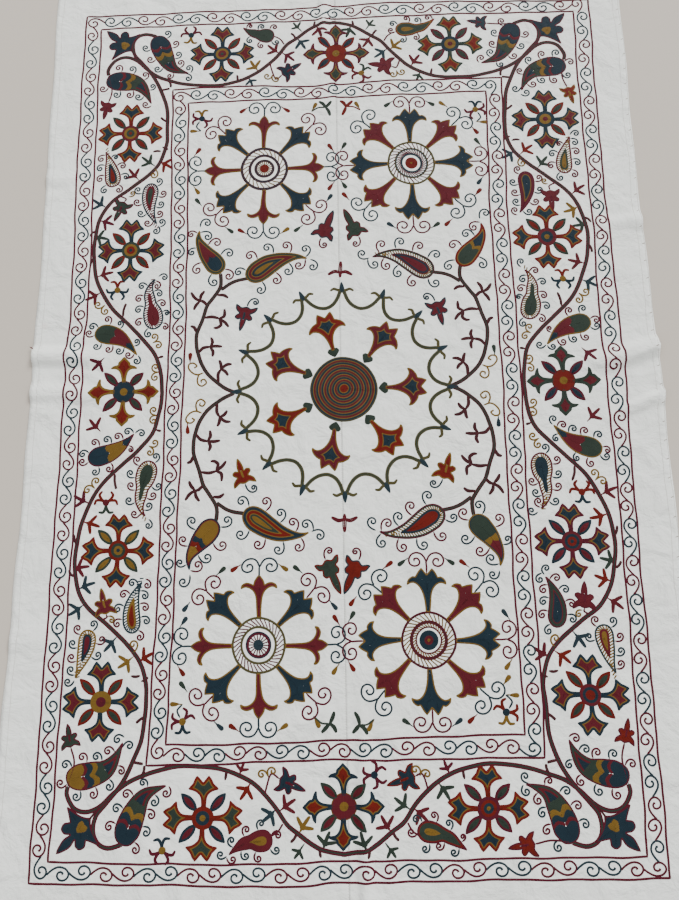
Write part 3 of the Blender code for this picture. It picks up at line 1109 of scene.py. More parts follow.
def spine_place(points, spine):
    """Where points lie along a spine, from 0 at its head to 1, and how far to its left."""
    nearest = ((points[:, None] - spine) ** 2).sum(axis=2).argmin(axis=1)
    legs = np.gradient(spine, axis=0)[nearest]
    off = points - spine[nearest]
    return nearest / (len(spine) - 1), (legs[:, 0] * off[:, 1] - legs[:, 1] * off[:, 0]) / np.hypot(*legs.T)


def banded(spine, half_width, bands, outer_rows):
    """Chooses threads across a boteh inside its outer rows. Each band has its reach along the spine, its
    thread and the depth of the scallops at its end."""
    def choose(points, k, thread):
        if k < outer_rows or not bands:
            return [thread] * len(points)
        t, off = spine_place(points, spine)
        threads = np.full(len(points), None, object)
        for upto, name, scallop in reversed(bands):
            name = ("green", "rose", "navy")[min((k - 1) // 2, 2)] if name == "leaf" else name
            threads[t <= upto + scallop * np.abs(np.sin(pi * off / half_width))] = name
        return threads
    return choose


def curl(x, y, heading, reach, radius, hand, turns=1.3):
    """A tendril that sets off from x, y, bends to its left or right hand and winds up."""
    wound = WOUND_PER_TURN * turns * radius
    travelled = np.arange(0.0, reach + wound, CURL_STEP)
    closing = 1.0 - CURL_CLOSING * np.clip((travelled - reach) / wound, 0.0, 1.0)
    bend = np.minimum(travelled / reach, 1.0) / (radius * closing)
    angle = radians(heading) + hand * np.cumsum(bend) * CURL_STEP
    along_x, along_y = np.cumsum(np.cos(angle)) * CURL_STEP, np.cumsum(np.sin(angle)) * CURL_STEP
    return np.column_stack((x + along_x, y + along_y))


def hairs(outline, radius, first, gap, tail_heading, reach=14.0):
    """Hairs round a boteh, in turns of two colours: each leaves it squarely and curls back towards the head.
    One that would cross other embroidery is made smaller, or left out where even that has no room."""
    line = evenly(outline, 1.0)
    legs = np.gradient(line, axis=0)
    half = len(line) // 2
    starts = [k for k in range(first, len(line) - 4, gap) if abs(k - half) > HAIR_ROOT]
    rows = []
    for count, k in enumerate(starts + [half]):
        hand = 1 if k < half else -1
        heading = tail_heading if k == half else degrees(atan2(legs[k, 0], -legs[k, 1])) - HAIR_LEAN * hand
        for size in HAIR_SIZES:
            points = curl(*line[k], heading, reach * size, radius * size, hand)
            if not cells(points[HAIR_ROOT:]) & taken:
                taken.update(cells(points[HAIR_ROOT:]))
                rows.append(Row(points, False, ("slate", "wine")[count % 2], HAIR))
                break
    return rows


def rungs(outline, near, far, thread, inset):
    """Short slanted stitches that cross the bare ring between two rows."""
    line = evenly(outline, 1.0)
    half = len(line) // 2
    outer, inner = offset_line(line, -near), offset_line(line, -far)
    return [
        Row(np.vstack((outer[k], inner[min(k + RUNG_LEAN, len(line) - 1)])), False, thread, RUNG)
        for k in range(4, len(line) - 4, RUNG_GAP) if abs(k - half) > inset
    ]


def boteh_rows(boteh, rung_near=3.4, rung_far=11.4, rung_inset=16, hair_reach=14.0):
    """A whole boteh: its filling, the rungs across its bare ring if it has one, and its hairs."""
    spine = evenly(smooth_line(boteh.spine), 1.0)
    outline = boteh_outline(spine, boteh.half_width, boteh.pinch)
    bands = banded(spine, boteh.half_width, boteh.bands, len(boteh.plan.split()))
    rows = filled(outline, boteh.plan, bands)
    if boteh.rung_thread:
        rows += rungs(outline, rung_near, rung_far, boteh.rung_thread, rung_inset)
    tail = spine[-1] - spine[-6]
    heading = degrees(atan2(tail[1], tail[0]))
    return rows + hairs(outline, boteh.hair_radius, boteh.hair_first, boteh.hair_gap, heading, hair_reach)


CORNER_BANDS = (
    (0.19, "head", 0.05), (0.235, "collar", 0.05), (0.30, "navy", 0.06), (0.37, "gold", 0.06),
    (0.52, "green", 0.0), (1.0, "leaf", 0.0),
)
CORNER_SPINES = (
    ((-636, 901), (-610, 904), (-580, 901), (-545, 890), (-520, 860), (-503, 815)),
    ((-492, 1048), (-490, 1022), (-478, 985), (-455, 945), (-420, 927), (-388, 920)),
)
corner_rows = []
for quarter in QUARTERS:
    for spine in CORNER_SPINES:
        boteh = Boteh(mirrored(spine, quarter), 30, "wine", CORNER_BANDS, None, 11.5, 24, 36, 0.0)
        head = "gold" if quarter == (-1, -1) and spine is CORNER_SPINES[0] else "navy"
        corner_rows += placed(boteh_rows(boteh), 0, 0, head=head, collar="rose")
sewn("corner_botehs", corner_rows)


# The smaller botehs, four along each half of the border's sides and one in each half of its ends. They are
# filled solid or in bands, or have a bare ring crossed by short slanting stitches, and have the same hairs.
OUTER_HIGH = (-607, 578), (-605, 607), (-612, 643), (-621, 673), (-634, 700)
INNER_HIGH = (-496, 588), (-501, 550), (-498, 512), (-486, 480), (-468, 456)
INNER_LOW = (-475, 171), (-479, 205), (-488, 246), (-490, 276), (-482, 302), (-463, 320)
OUTER_LOW = (-628, 166), (-597, 160), (-563, 148), (-533, 126), (-505, 92)
BOTEH_PLANS = {
    "lattice": "edge - - - - core core heart",
    "plain": "edge line line line heart core core core",
    "segmented": "edge",
}
SEGMENTED = (0.38, "line", -0.06), (0.62, "core", 0.06), (1.0, "heart", 0.0)
WIDE_BOTEH = 26
NARROW_BOTEH = 22
PINCH = 0.22
BOTEH_PARTS = "edge", "line", "core", "heart"
# The threads are in the order of BOTEH_PARTS. In a segmented one the last three are head, middle and tail.
SideBoteh = namedtuple("SideBoteh", "quarter spine kind threads")
SIDE_BOTEHS = (
    SideBoteh(0, OUTER_HIGH, "lattice", "wine gold navy rust"),
    SideBoteh(0, INNER_HIGH, "lattice", "slate wine rose green"),
    SideBoteh(0, INNER_LOW, "lattice", "slate wine rose rose"),
    SideBoteh(0, OUTER_LOW, "segmented", "gold green rose navy"),
    SideBoteh(1, OUTER_HIGH, "lattice", "wine gold green gold"),
    SideBoteh(1, INNER_HIGH, "plain", "wine wine navy gold"),
    SideBoteh(1, INNER_LOW, "lattice", "wine gold green green"),
    SideBoteh(1, OUTER_LOW, "segmented", "gold green rose navy"),
    SideBoteh(2, OUTER_HIGH, "lattice", "gold gold navy rose"),
    SideBoteh(2, INNER_HIGH, "lattice", "slate slate gold rust"),
    SideBoteh(2, INNER_LOW, "lattice", "wine gold green green"),
    SideBoteh(2, OUTER_LOW, "segmented", "wine navy gold navy"),
    SideBoteh(3, OUTER_HIGH, "lattice", "slate gold rose gold"),
    SideBoteh(3, INNER_HIGH, "plain", "wine green navy rose"),
    SideBoteh(3, INNER_LOW, "lattice", "wine gold navy navy"),
    SideBoteh(3, OUTER_LOW, "segmented", "gold green rose navy"),
)
END_BOTEHS = (
    ((-166, 1032), (-192, 1034), (-222, 1042), (-246, 1055), (-262, 1072)),
    ((172, 1036), (204, 1038), (241, 1042), (268, 1056), (292, 1078)),
    ((-160, -1036), (-190, -1039), (-222, -1044), (-248, -1058), (-268, -1074)),
    ((160, -1018), (190, -1022), (225, -1028), (255, -1046), (282, -1066)),
)
END_PLANS = (
    "wine green green green green",
    "rust gold green green green green green gold",
    "wine rose rose rose rose rose gold",
    "wine rust green green green green green gold",
)

side_rows = []
for boteh in SIDE_BOTEHS:
    spine = mirrored(boteh.spine, QUARTERS[boteh.quarter])
    plan = BOTEH_PLANS[boteh.kind]
    bands = SEGMENTED if boteh.kind == "segmented" else ()
    rung_thread = "line" if boteh.kind == "lattice" else None
    half_width = WIDE_BOTEH if boteh.spine in (INNER_LOW, OUTER_LOW) else NARROW_BOTEH
    pinch = PINCH if boteh.spine is INNER_LOW else 0.0
    whole = Boteh(spine, half_width, plan, bands, rung_thread, 10.8, 16, 31, pinch)
    dyes = dict(zip(BOTEH_PARTS, boteh.threads.split()))
    side_rows += placed(boteh_rows(whole, hair_reach=15.0), 0, 0, **dyes)
for spine, plan in zip(END_BOTEHS, END_PLANS):
    side_rows += boteh_rows(Boteh(spine, 23, plan, (), None, 9.6, 20, 34, 0.2))
sewn("border_botehs", side_rows)


# The small flowers that fill what is left of the wide border: lilies, sprigs, dot flowers and gold tendrils.
# The flowers are filled with rows, a sprig's leaves are three rows each, and the stems are one row.
LILY = (
    (0, 4), (3, 12), (-1, 20), (-6, 30), (-6, 30), (8, 27), (16, 20), (19, 15), (19, 15), (27, 23), (34, 22),
    (37, 14), (34, 8), (34, 8), (44, 8), (58, 5), (76, -2),
)
DROP_LEAF = (0, 1.2), (8, 2.0), (16, 4.0), (23, 5.2), (28, 4.4), (31, 0)
SPRIG_ARMS = (
    ((-12, 0), (5, 0.5), (24, -1)),
    ((-6, -6), (0, 8), (8, 23)),
    ((-6, 6), (0, -8), (7, -23)),
)
SPRIG_STALK = 22
SPRIG_WIDTH = 2.8
HORN_WIDTH = 1.9
BLADE_ROW = 4.0
LILY_SLIT = (26, 10, 2.6)
DOT_RADIUS = 8.5
END_BOTEH_STEM = (-168, 1031), (-150, 1020), (-139, 1003)
HORN = (5, 1), (15, 2), (24, 8), (23, 19)


def lily_inlay(points, k, thread):
    """A slit of the edge's thread along the middle of a lily."""
    middle, half_length, half_width = LILY_SLIT
    slit = (np.abs(points[:, 0] - middle) < half_length) & (np.abs(points[:, 1]) < half_width)
    return ["edge" if found else thread for found in slit]


def blade(points, thread, half_width):
    """A thick stroke of three rows that meet at both ends."""
    line = evenly(smooth_line(points), 1.0)
    t = np.linspace(0.0, 1.0, len(line))[:, None]
    reach = half_width * np.sqrt(np.clip(4 * t * (1 - t), 0.0, 1.0))
    return [Row(offset_line(line, reach * k), False, thread, BLADE_ROW) for k in (-1, 0, 1)]


lily = filled(outline_of(LILY), "edge fill", lily_inlay)
drop_leaf = filled(outline_of(DROP_LEAF), "leaf") + [Row(smooth_line(((0, 0), (24, 0))), False, "leaf", 3.6)]
sprig = [row for arm in SPRIG_ARMS for row in blade(arm, "leaf", SPRIG_WIDTH)]
horns = [row for side in (1, -1) for row in blade(np.array(HORN) * (1, side), "leaf", HORN_WIDTH)]

Lily = namedtuple("Lily", "x y heading size edge fill")
BORDER_LILIES = (
    Lily(-627, 838, -104, 0.79, "wine", "rose"),
    Lily(632, 838, -76, 0.79, "gold", "rust"),
    Lily(-627, -838, 104, 0.79, "wine", "green"),
    Lily(632, -838, 76, 0.79, "wine", "rust"),
    Lily(-568, 533, -113, 0.92, "wine", "green"),
    Lily(564, 530, -86, 0.9, "wine", "rose"),
    Lily(-562, -544, 103, 0.95, "gold", "rose"),
    Lily(565, -544, 84, 0.95, "wine", "rose"),
    Lily(-144, 908, 33, 0.95, "wine", "navy"),
    Lily(158, 920, 168, 1.0, "wine", "rose"),
    Lily(-146, -910, -24, 0.95, "wine", "navy"),
    Lily(160, -908, 194, 1.0, "rust", "navy"),
    Lily(424, 1050, 172, 0.8, "wine", "slate"),
    Lily(418, -1046, 190, 0.9, "wine", "rust"),
)
# A sprig in every quarter, with its thread in each
Sprig = namedtuple("Sprig", "x y threads size")
SPRIGS = (
    Sprig(508, 652, "green rust gold rust", 1.0),
    Sprig(462, 642, "rust slate rust rose", 1.0),
    Sprig(547, 612, "rose green slate slate", 1.0),
    Sprig(634, 531, "slate rose slate rose", 1.0),
    Sprig(614, 476, "wine gold slate rust", 1.0),
    Sprig(631, 432, "green green rose green", 1.0),
    Sprig(612, 327, "rose rose rust rust", 1.0),
    Sprig(636, 268, "rose slate wine rose", 1.0),
    Sprig(613, 80, "wine wine rose rose", 1.0),
    Sprig(168, 986, "rose gold slate rose", 1.0),
    Sprig(130, 965, "wine slate rose green", 1.0),
    Sprig(222, 935, "gold rose rust green", 1.0),
    Sprig(92, 1007, "slate rose gold rose", 1.0),
    Sprig(102, 1060, "green green green green", 0.7),
    Sprig(42, 1042, "rose green green green", 1.0),
    Sprig(232, 889, "slate green rose wine", 0.7),
)
DotFlower = namedtuple("DotFlower", "x y headings dot threads")
DOT_FLOWERS = (
    DotFlower(-402, 1043, (40, 150, 265), "navy", "wine wine gold"),
    DotFlower(-407, -1059, (-40, -150, 95), "gold", "wine wine navy"),
    DotFlower(-575, 281, (90, 210, 330), "gold", "rust navy navy"),
    DotFlower(580, 281, (90, 210, 330), "gold", "rust navy navy"),
    DotFlower(-575, -277, (-90, 30, 150), "rose", "green rust rust"),
    DotFlower(584, -269, (-90, 30, 150), "rust", "navy rust rust"),
    DotFlower(75, 904, (60, 180, 300), "gold", "green rose rose"),
    DotFlower(68, -902, (-60, 60, 180), "navy", "wine wine wine"),
)
GoldCurl = namedtuple("GoldCurl", "x y heading reach radius hands")
GOLD_CURLS = (
    GoldCurl(-455, 57, 180, 18, 11.5, (1, -1)),
    GoldCurl(-477, 135, 27, 17, 11, (1, -1)),
    GoldCurl(-605, 242, 224, 20, 11.5, (1, -1)),
    GoldCurl(-171, 908, -108, 15, 11.5, (1, -1)),
    GoldCurl(-494, 632, -38, 22, 12, (-1,)),
    GoldCurl(-558, 549, -8, 12, 8.6, (1,)),
)


def sprig_rows(x, y, thread, size):
    """A sprig at x, y that points straight away from the nearest point of the vine."""
    nearest = vine_points[((vine_points - (x, y)) ** 2).sum(axis=1).argmin()]
    reach = hypot(x - nearest[0], y - nearest[1])
    foot = np.array((x, y)) + (nearest - (x, y)) * min(1.0, SPRIG_STALK / reach)
    heading = degrees(atan2(y - nearest[1], x - nearest[0]))
    stalk = Row(np.vstack((foot, (foot + (x, y)) / 2, (x, y))), False, thread, FILL)
    return placed(sprig, x, y, heading, size=size, leaf=thread) + [stalk]


def stem_to_vine(x, y, heading, thread):
    """A bent stem of one row from the foot of a flower to the nearest point of the vine."""
    nearest = vine_points[((vine_points - (x, y)) ** 2).sum(axis=1).argmin()]
    back_x, back_y = polar(0.45 * hypot(*(nearest - (x, y))), heading)
    return Row(smooth_line(((x, y), (x - back_x, y - back_y), nearest)), False, thread, HAIR)


def lily_rows(flower, rows):
    """A lily of these rows, at its place and in its threads."""
    return placed(rows, *flower[:3], size=flower.size, edge=flower.edge, fill=flower.fill)


def dot_flower(flower):
    """A round dot with a pair of curved leaves at each of its headings."""
    rows = disc(DOT_RADIUS, (flower.dot,))
    for heading, thread in zip(flower.headings, flower.threads.split()):
        rows += placed(horns, 0, 0, heading, leaf=thread)
    return placed(rows, flower.x, flower.y)


filler_rows = []
for flower in BORDER_LILIES:
    filler_rows += lily_rows(flower, lily)
    filler_rows.append(stem_to_vine(flower.x, flower.y, flower.heading, "wine"))
for flower in DOT_FLOWERS:
    filler_rows += dot_flower(flower)
for shoot in SPRIGS:
    for quarter, thread in zip(QUARTERS, shoot.threads.split()):
        filler_rows += sprig_rows(*mirrored((-shoot.x, shoot.y), quarter), thread, shoot.size)
for quarter in QUARTERS:
    for tendril in GOLD_CURLS:
        for hand in tendril.hands:
            points = curl(tendril.x, tendril.y, tendril.heading, tendril.reach, tendril.radius, hand, 1.2)
            filler_rows.append(Row(mirrored(points, quarter), False, "gold", HAIR))
    filler_rows.append(Row(smooth_line(mirrored(END_BOTEH_STEM, quarter)), False, "wine", HAIR))
sewn("border_fillers", filler_rows)


# The four wheels of the field: rings and spokes about a round heart, eight arms that end in palmettes, and a
# lyre of two tendrils with drop leaves at the tip of each arm
POINTED_ARM = (
    (62, 5.5), (90, 6.5), (113, 9), (126, 16), (133, 27), (133, 36), (127, 45), (127, 45), (139, 42),
    (145, 32), (144, 21), (140, 14), (140, 14), (150, 11), (165, 0),
)
NOTCHED_ARM = (
    (62, 5.5), (92, 8.5), (111, 13), (123, 20), (130, 29), (130, 38), (124, 48), (124, 48), (138, 44),
    (146, 34), (145, 27), (145, 27), (156, 21), (167, 13), (167, 13), (151, 0),
)
LYRE_STEM = (152, 0), (168, 0), (182, 1)
LYRE_CURL = (
    (180, 0), (192, 5), (200, 13), (202, 25), (197, 36), (186, 42), (175, 39), (170, 29), (173, 19),
    (181, 16), (188, 21), (187, 29), (181, 29),
)
LYRE_LEAF = (190, 43)
Ticks = namedtuple("Ticks", "near far count slant thread")
# Rings are radius and thread from the outside in. Leaves are the threads of the two at each arm's tip.
Wheel = namedtuple("Wheel", "x y rings ticks core arms fills lyres leaves")
WHEELS = (
    Wheel(
        -193, 619,
        "63 bark 60.8 slate 58.6 bark 41.5 bark 39.3 slate 37.1 bark 25.8 bark 23.6 slate 21.6 bark",
        (Ticks(44, 57, 24, 14, "gold"), Ticks(12, 20, 20, 0, "gold")), (12, "rust"),
        (POINTED_ARM, NOTCHED_ARM), ("rose", "navy"), ("slate", "wine"),
        "rust rust - - rust rust - - gold rust green green gold rust slate green",
    ),
    Wheel(
        202, 623,
        "63 olive 60.8 olive 44 olive 41.8 slate 28 slate 25.8 slate",
        (Ticks(45, 59, 30, 12, "wine"), Ticks(29, 40, 34, 20, "wine")), (17, "rust rust rust gold"),
        (NOTCHED_ARM, NOTCHED_ARM), ("navy", "rose"), ("wine", "slate"),
        "green slate gold rust green green - - green green - rust green slate rust rust",
    ),
    Wheel(
        -196, -619,
        "63 olive 60.8 olive 42 olive 39.8 olive 29 navy 26.8 wine 24.6 wine",
        (Ticks(44, 59, 34, 14, "wine"), Ticks(12, 23, 18, 0, "wine")), (12, "slate"),
        (POINTED_ARM, NOTCHED_ARM), ("rose", "navy"), ("slate", "wine"),
        "rust gold green slate rust gold slate green rust slate slate green gold rust - -",
    ),
    Wheel(
        202, -611,
        "63 wine 60.8 bark 42.5 wine 40.3 bark 38.1 wine 29 wine",
        (Ticks(43, 59, 34, 14, "gold"), Ticks(30, 37, 34, 10, "gold")), (22, "navy navy rose gold"),
        (NOTCHED_ARM, NOTCHED_ARM), ("navy", "rose"), ("wine", "slate"),
        "slate gold rust - green green rust rust rust green - - slate green gold rust",
    ),
)
WHEEL_RING = 4.4
TICK = 3.6
LEAF_TURNS = 124, 96


def tick_rows(ticks):
    """Straight stitches round a ring, from one radius out to another, each turned by the slant on its way."""
    rows = []
    for k in range(ticks.count):
        heading = 360 * k / ticks.count
        ends = np.array((polar(ticks.near, heading), polar(ticks.far, heading + ticks.slant)))
        rows.append(Row(ends, False, ticks.thread, TICK))
    return rows


arm_rows = {arm: filled(outline_of(arm), "edge fill") for arm in (POINTED_ARM, NOTCHED_ARM)}
lyre = [Row(smooth_line(LYRE_STEM), False, "stem", HAIR)]
for side in (1, -1):
    lyre.append(Row(smooth_line(LYRE_CURL) * (1, side), False, "stem", HAIR))
wheel_rows = []
for wheel in WHEELS:
    core_radius, core_threads = wheel.core
    rows = disc(core_radius, core_threads.split())
    rings = wheel.rings.split()
    for radius, thread in zip(rings[::2], rings[1::2]):
        rows.append(ring(float(radius), thread, WHEEL_RING))
    for ticks in wheel.ticks:
        rows += tick_rows(ticks)
    leaves = thread_list(wheel.leaves)
    for k in range(8):
        rows += placed(arm_rows[wheel.arms[k % 2]], 0, 0, 45 * k, edge="gold", fill=wheel.fills[k % 2])
        rows += placed(lyre, 4 * (k % 2), 0, 45 * k, stem=wheel.lyres[k % 2])
        for side, thread in zip((1, -1), leaves[2 * k:2 * k + 2]):
            if thread:
                hung = placed(drop_leaf, LYRE_LEAF[0], LYRE_LEAF[1] * side, LEAF_TURNS[k % 2] * side)
                rows += placed(hung, 0, 0, 45 * k, leaf=thread)
    wheel_rows.append(placed(rows, wheel.x, wheel.y))
sewn("wheels_top", wheel_rows[0] + wheel_rows[1])
sewn("wheels_foot", wheel_rows[2] + wheel_rows[3])


# The sprays in the corners of the field beyond the wheels: a dot flower on a stem in each outer corner, and a
# sprig of three leaves in each corner by the seam, all with a gold leaf at the end of a stem of one row
FIELD_FLOWERS = (
    DotFlower(-367, 777, (92, 180, 325), "navy", "gold wine wine"),
    DotFlower(381, 777, (90, 5, 215), "gold", "navy wine wine"),
    DotFlower(-372, -787, (-85, 180, 50), "gold", "navy wine wine"),
    DotFlower(372, -773, (-92, 0, 130), "navy", "gold rust rust"),
)
# Where its leaves meet, where its gold leaf hangs, its quarter and its thread
FieldSprig = namedtuple("FieldSprig", "joint leaf_at quarter thread")
FIELD_SPRIGS = (
    FieldSprig((-26, 799), (-66, 789), 0, "green"),
    FieldSprig((30, 799), (70, 789), 1, "rust"),
    FieldSprig((-32, -794), (-70, -777), 2, "green"),
    FieldSprig((37, -795), (71, -782), 3, "green"),
)
FIELD_SPRIG_TIPS = (-18, 20), (11, -26), (16, 19)
FIELD_SPRIG_WIDTH = 3.2
FIELD_STEM = (6, -8), (13, -24), (0, -38)

field_rows = []
for flower in FIELD_FLOWERS:
    field_rows += dot_flower(flower)
    side_x, side_y = np.sign((flower.x, flower.y))
    stem = [(flower.x + out_x * side_x, flower.y + out_y * side_y) for out_x, out_y in FIELD_STEM]
    field_rows.append(Row(smooth_line(stem), False, "slate", HAIR))
    field_rows += placed(drop_leaf, *stem[-1], 180 if side_x < 0 else 0, leaf="gold")
for spray in FIELD_SPRIGS:
    (x, y), (leaf_x, leaf_y) = spray.joint, spray.leaf_at
    side_x, side_y = QUARTERS[spray.quarter]
    for tip_x, tip_y in FIELD_SPRIG_TIPS:
        tip = (x + tip_x * -side_x, y + tip_y * side_y)
        bend = ((x + tip[0]) / 2 + 2, (y + tip[1]) / 2 + 2)
        field_rows += blade((spray.joint, bend, tip), spray.thread, FIELD_SPRIG_WIDTH)
    stem = smooth_line((spray.joint, ((x + leaf_x) / 2, y + 1), spray.leaf_at))
    field_rows.append(Row(stem, False, spray.thread, HAIR))
    field_rows += placed(drop_leaf, leaf_x, leaf_y, degrees(atan2(24 * side_y, -14 * side_x)), leaf="gold")
sewn("field_corners", field_rows)


# The thorny branches that bend round the middle: stems of three rows, with twigs of three rows that meet at
# both ends, and a pair of gold tendrils of one row with a drop leaf
BRANCH = (
    (-304, 325), (-302, 300), (-306, 282), (-325, 252), (-337, 235), (-346, 210), (-352, 190), (-362, 160),
    (-364, 140), (-362, 117), (-356, 97), (-347, 72), (-332, 47), (-307, 25), (-287, 11), (-265, 1),
)
BRANCH_LINK = (-224, 310), (-240, 306), (-260, 302), (-280, 294), (-302, 279)
TWIGS = (
    ((-337, 235), (-347, 246), (-356, 248)),
    ((-356, 248), (-370, 257), (-380, 272)),
    ((-355, 249), (-354, 262), (-345, 275)),
    ((-357, 247), (-367, 236), (-373, 224)),
    ((-311, 264), (-295, 264), (-284, 256)),
    ((-345, 202), (-325, 204), (-306, 199)),
    ((-306, 199), (-293, 206), (-292, 225)),
    ((-303, 197), (-290, 187), (-281, 175)),
    ((-306, 198), (-301, 182), (-310, 174), (-320, 174)),
    ((-364, 162), (-370, 175), (-380, 179)),
    ((-357, 105), (-346, 119), (-327, 123)),
    ((-327, 123), (-321, 135), (-325, 148)),
    ((-327, 123), (-312, 124), (-296, 122)),
    ((-327, 121), (-320, 110), (-321, 96)),
    ((-306, 26), (-307, 48), (-299, 62)),
    ((-299, 62), (-299, 75), (-303, 86)),
    ((-298, 63), (-285, 73), (-271, 74)),
    ((-298, 62), (-288, 56), (-281, 45)),
)
GOLD_TENDRILS = (
    ((-344, 52), (-359, 47), (-372, 52), (-382, 65), (-380, 76), (-369, 78), (-361, 70), (-368, 65)),
    ((-355, 49), (-360, 35), (-357, 22), (-347, 17), (-337, 25), (-342, 34), (-350, 32), (-349, 25)),
)
TWIG_WIDTH = 2.8
RIGHT_BRANCH_SHIFT = 16, 2
LEFT_BRANCH_SHIFT = 0, -2
TENDRIL_LEAF_AT = (-378, 76)
TENDRIL_LEAVES = "rust", "green", "rust", "navy"

branch_rows = []
for quarter, leaf_thread in zip(QUARTERS, TENDRIL_LEAVES):
    shift = RIGHT_BRANCH_SHIFT if quarter[0] > 0 else LEFT_BRANCH_SHIFT
    for points, spacing in ((BRANCH, 3.0), (BRANCH_LINK, 2.8)):
        branch_rows += stem_rows(mirrored(points, quarter) + shift, ("bark", "green", "bark"), spacing)
    for twig_line in TWIGS:
        branch_rows += blade(mirrored(twig_line, quarter) + shift, "bark", TWIG_WIDTH)
    for tendril in GOLD_TENDRILS:
        branch_rows.append(Row(smooth_line(mirrored(tendril, quarter) + shift), False, "gold", HAIR))
    x, y = mirrored(TENDRIL_LEAF_AT, quarter) + shift
    branch_rows += placed(drop_leaf, x, y, 90 * quarter[1], leaf=leaf_thread)
sewn("thorny_branches", branch_rows)


# The field's lilies: two pairs by the seam, above and below the middle, and one in the bend of each branch.
# Each is filled with rows and stands on a curled stem of one row. A small rose fleur stands beside each pair.
SEAM_LILY = (
    (0, 3), (5, 12), (0, 21), (-1, 30), (-1, 30), (14, 25), (19, 17), (19, 17), (29, 20), (37, 15), (37, 9),
    (37, 9), (55, 9), (72, 5), (88, -3),
)
SEAM_LILIES = (
    Lily(-42, 412, 66, 1.1, "slate", "rose"),
    Lily(56, 415, 114, 1.1, "rose", "green"),
    Lily(-36, -424, -66, 1.1, "rust", "green"),
    Lily(42, -424, -114, 1.1, "slate", "rust"),
)
BEND_LILIES = (
    Lily(-235, 225, 255, 1.0, "slate", "rose"),
    Lily(250, 228, 285, 1.0, "slate", "rose"),
    Lily(-233, -236, 108, 1.0, "gold", "rust"),
    Lily(250, -230, 72, 1.0, "gold", "rust"),
)
FLEUR_SIDE = (0, 0), (4, 14), (-4, 31)
FLEUR_MIDDLE = (-12, 0), (10, 0), (32, 0)
FLEUR_PLACES = (9, 312, 90), (9, -326, -90)

seam_lily = filled(outline_of(SEAM_LILY), "edge fill")
fleur = blade(FLEUR_MIDDLE, "rose", 3.8)
for side in (1, -1):
    fleur += blade(np.array(FLEUR_SIDE) * (1, side), "rose", 3.4)
lily_patch = []
for flowers, rows, reach, thread, side in (
    (SEAM_LILIES, seam_lily, 34, "wine", -1),
    (BEND_LILIES, lily, 42, "slate", 1),
):
    for flower in flowers:
        lily_patch += lily_rows(flower, rows)
        hand = side if flower.x * flower.y > 0 else -side
        stem = curl(flower.x, flower.y, flower.heading + 180, reach, 9, hand)
        lily_patch.append(Row(stem, False, thread, HAIR))
for x, y, heading in FLEUR_PLACES:
    lily_patch += placed(fleur, x, y, heading)
sewn("field_lilies", lily_patch)


# The four pairs of paisleys about the middle, bent like the botehs but larger. They are filled in layers of
# rows or have a bare ring crossed by gold stitches, and long curled hairs of one row stand round them.
SMALL_PAISLEY = (-305, 322), (-322, 350), (-347, 381), (-366, 419), (-362, 458)
LARGE_PAISLEY = (-238, 307), (-210, 321), (-175, 343), (-140, 358), (-100, 362), (-62, 350)
Paisley = namedtuple("Paisley", "quarter spine half_width plan bands rung_thread")
PAISLEYS = (
    Paisley(0, SMALL_PAISLEY, 27, "gold green green gold", ((0.36, "navy", -0.06), (1.0, "rose", 0.0)), None),
    Paisley(0, LARGE_PAISLEY, 31, "gold green green gold rose rose rose gold navy navy green gold", (), None),
    Paisley(1, SMALL_PAISLEY, 27, "rust rust gold",
            ((0.36, "green", 0.06), (0.43, "gold", 0.06), (1.0, "navy", 0.0)), None),
    Paisley(1, LARGE_PAISLEY, 31, "bark green - - - - wine navy navy rose", (), "gold"),
    Paisley(2, SMALL_PAISLEY, 27, "navy rose",
            ((0.36, "gold", 0.04), (0.44, "navy", 0.04), (0.52, "rust", 0.04), (1.0, "gold", 0.0)), None),
    Paisley(2, LARGE_PAISLEY, 31, "gold navy navy navy gold rust rust rust gold green green gold", (), None),
    Paisley(3, SMALL_PAISLEY, 27, "gold navy",
            ((0.42, "green", 0.0), (0.48, "gold", 0.05), (1.0, "rose", 0.0)), None),
    Paisley(3, LARGE_PAISLEY, 31, "wine green - - - - navy navy rust", (), "gold"),
)
PAISLEY_SHIFT = 14, 0

paisley_rows = []
for paisley in PAISLEYS:
    quarter = QUARTERS[paisley.quarter]
    spine = mirrored(paisley.spine, quarter) + (PAISLEY_SHIFT if quarter[0] > 0 else (0, 0))
    boteh = Boteh(spine, *paisley[2:], 14.0, 22, 44, 0.0)
    paisley_rows += boteh_rows(boteh, 6.0, 13.4, 34, hair_reach=25.0)
sewn("centre_paisleys", paisley_rows)


# The scalloped ring round the middle: sixteen arcs of three rows, in olive and green, hang between knots. A
# knot is a filled slate spike and two bent olive leaves.
MIDDLE = (12, 0)
KNOTS = 16
KNOT_RADIUS = 268
KNOT_SPIKE = (-10, 3), (0, 6.5), (8, 5), (26, 0)
KNOT_ARM = (-4, -3), (-3, 10), (1, 20), (-4, 30)
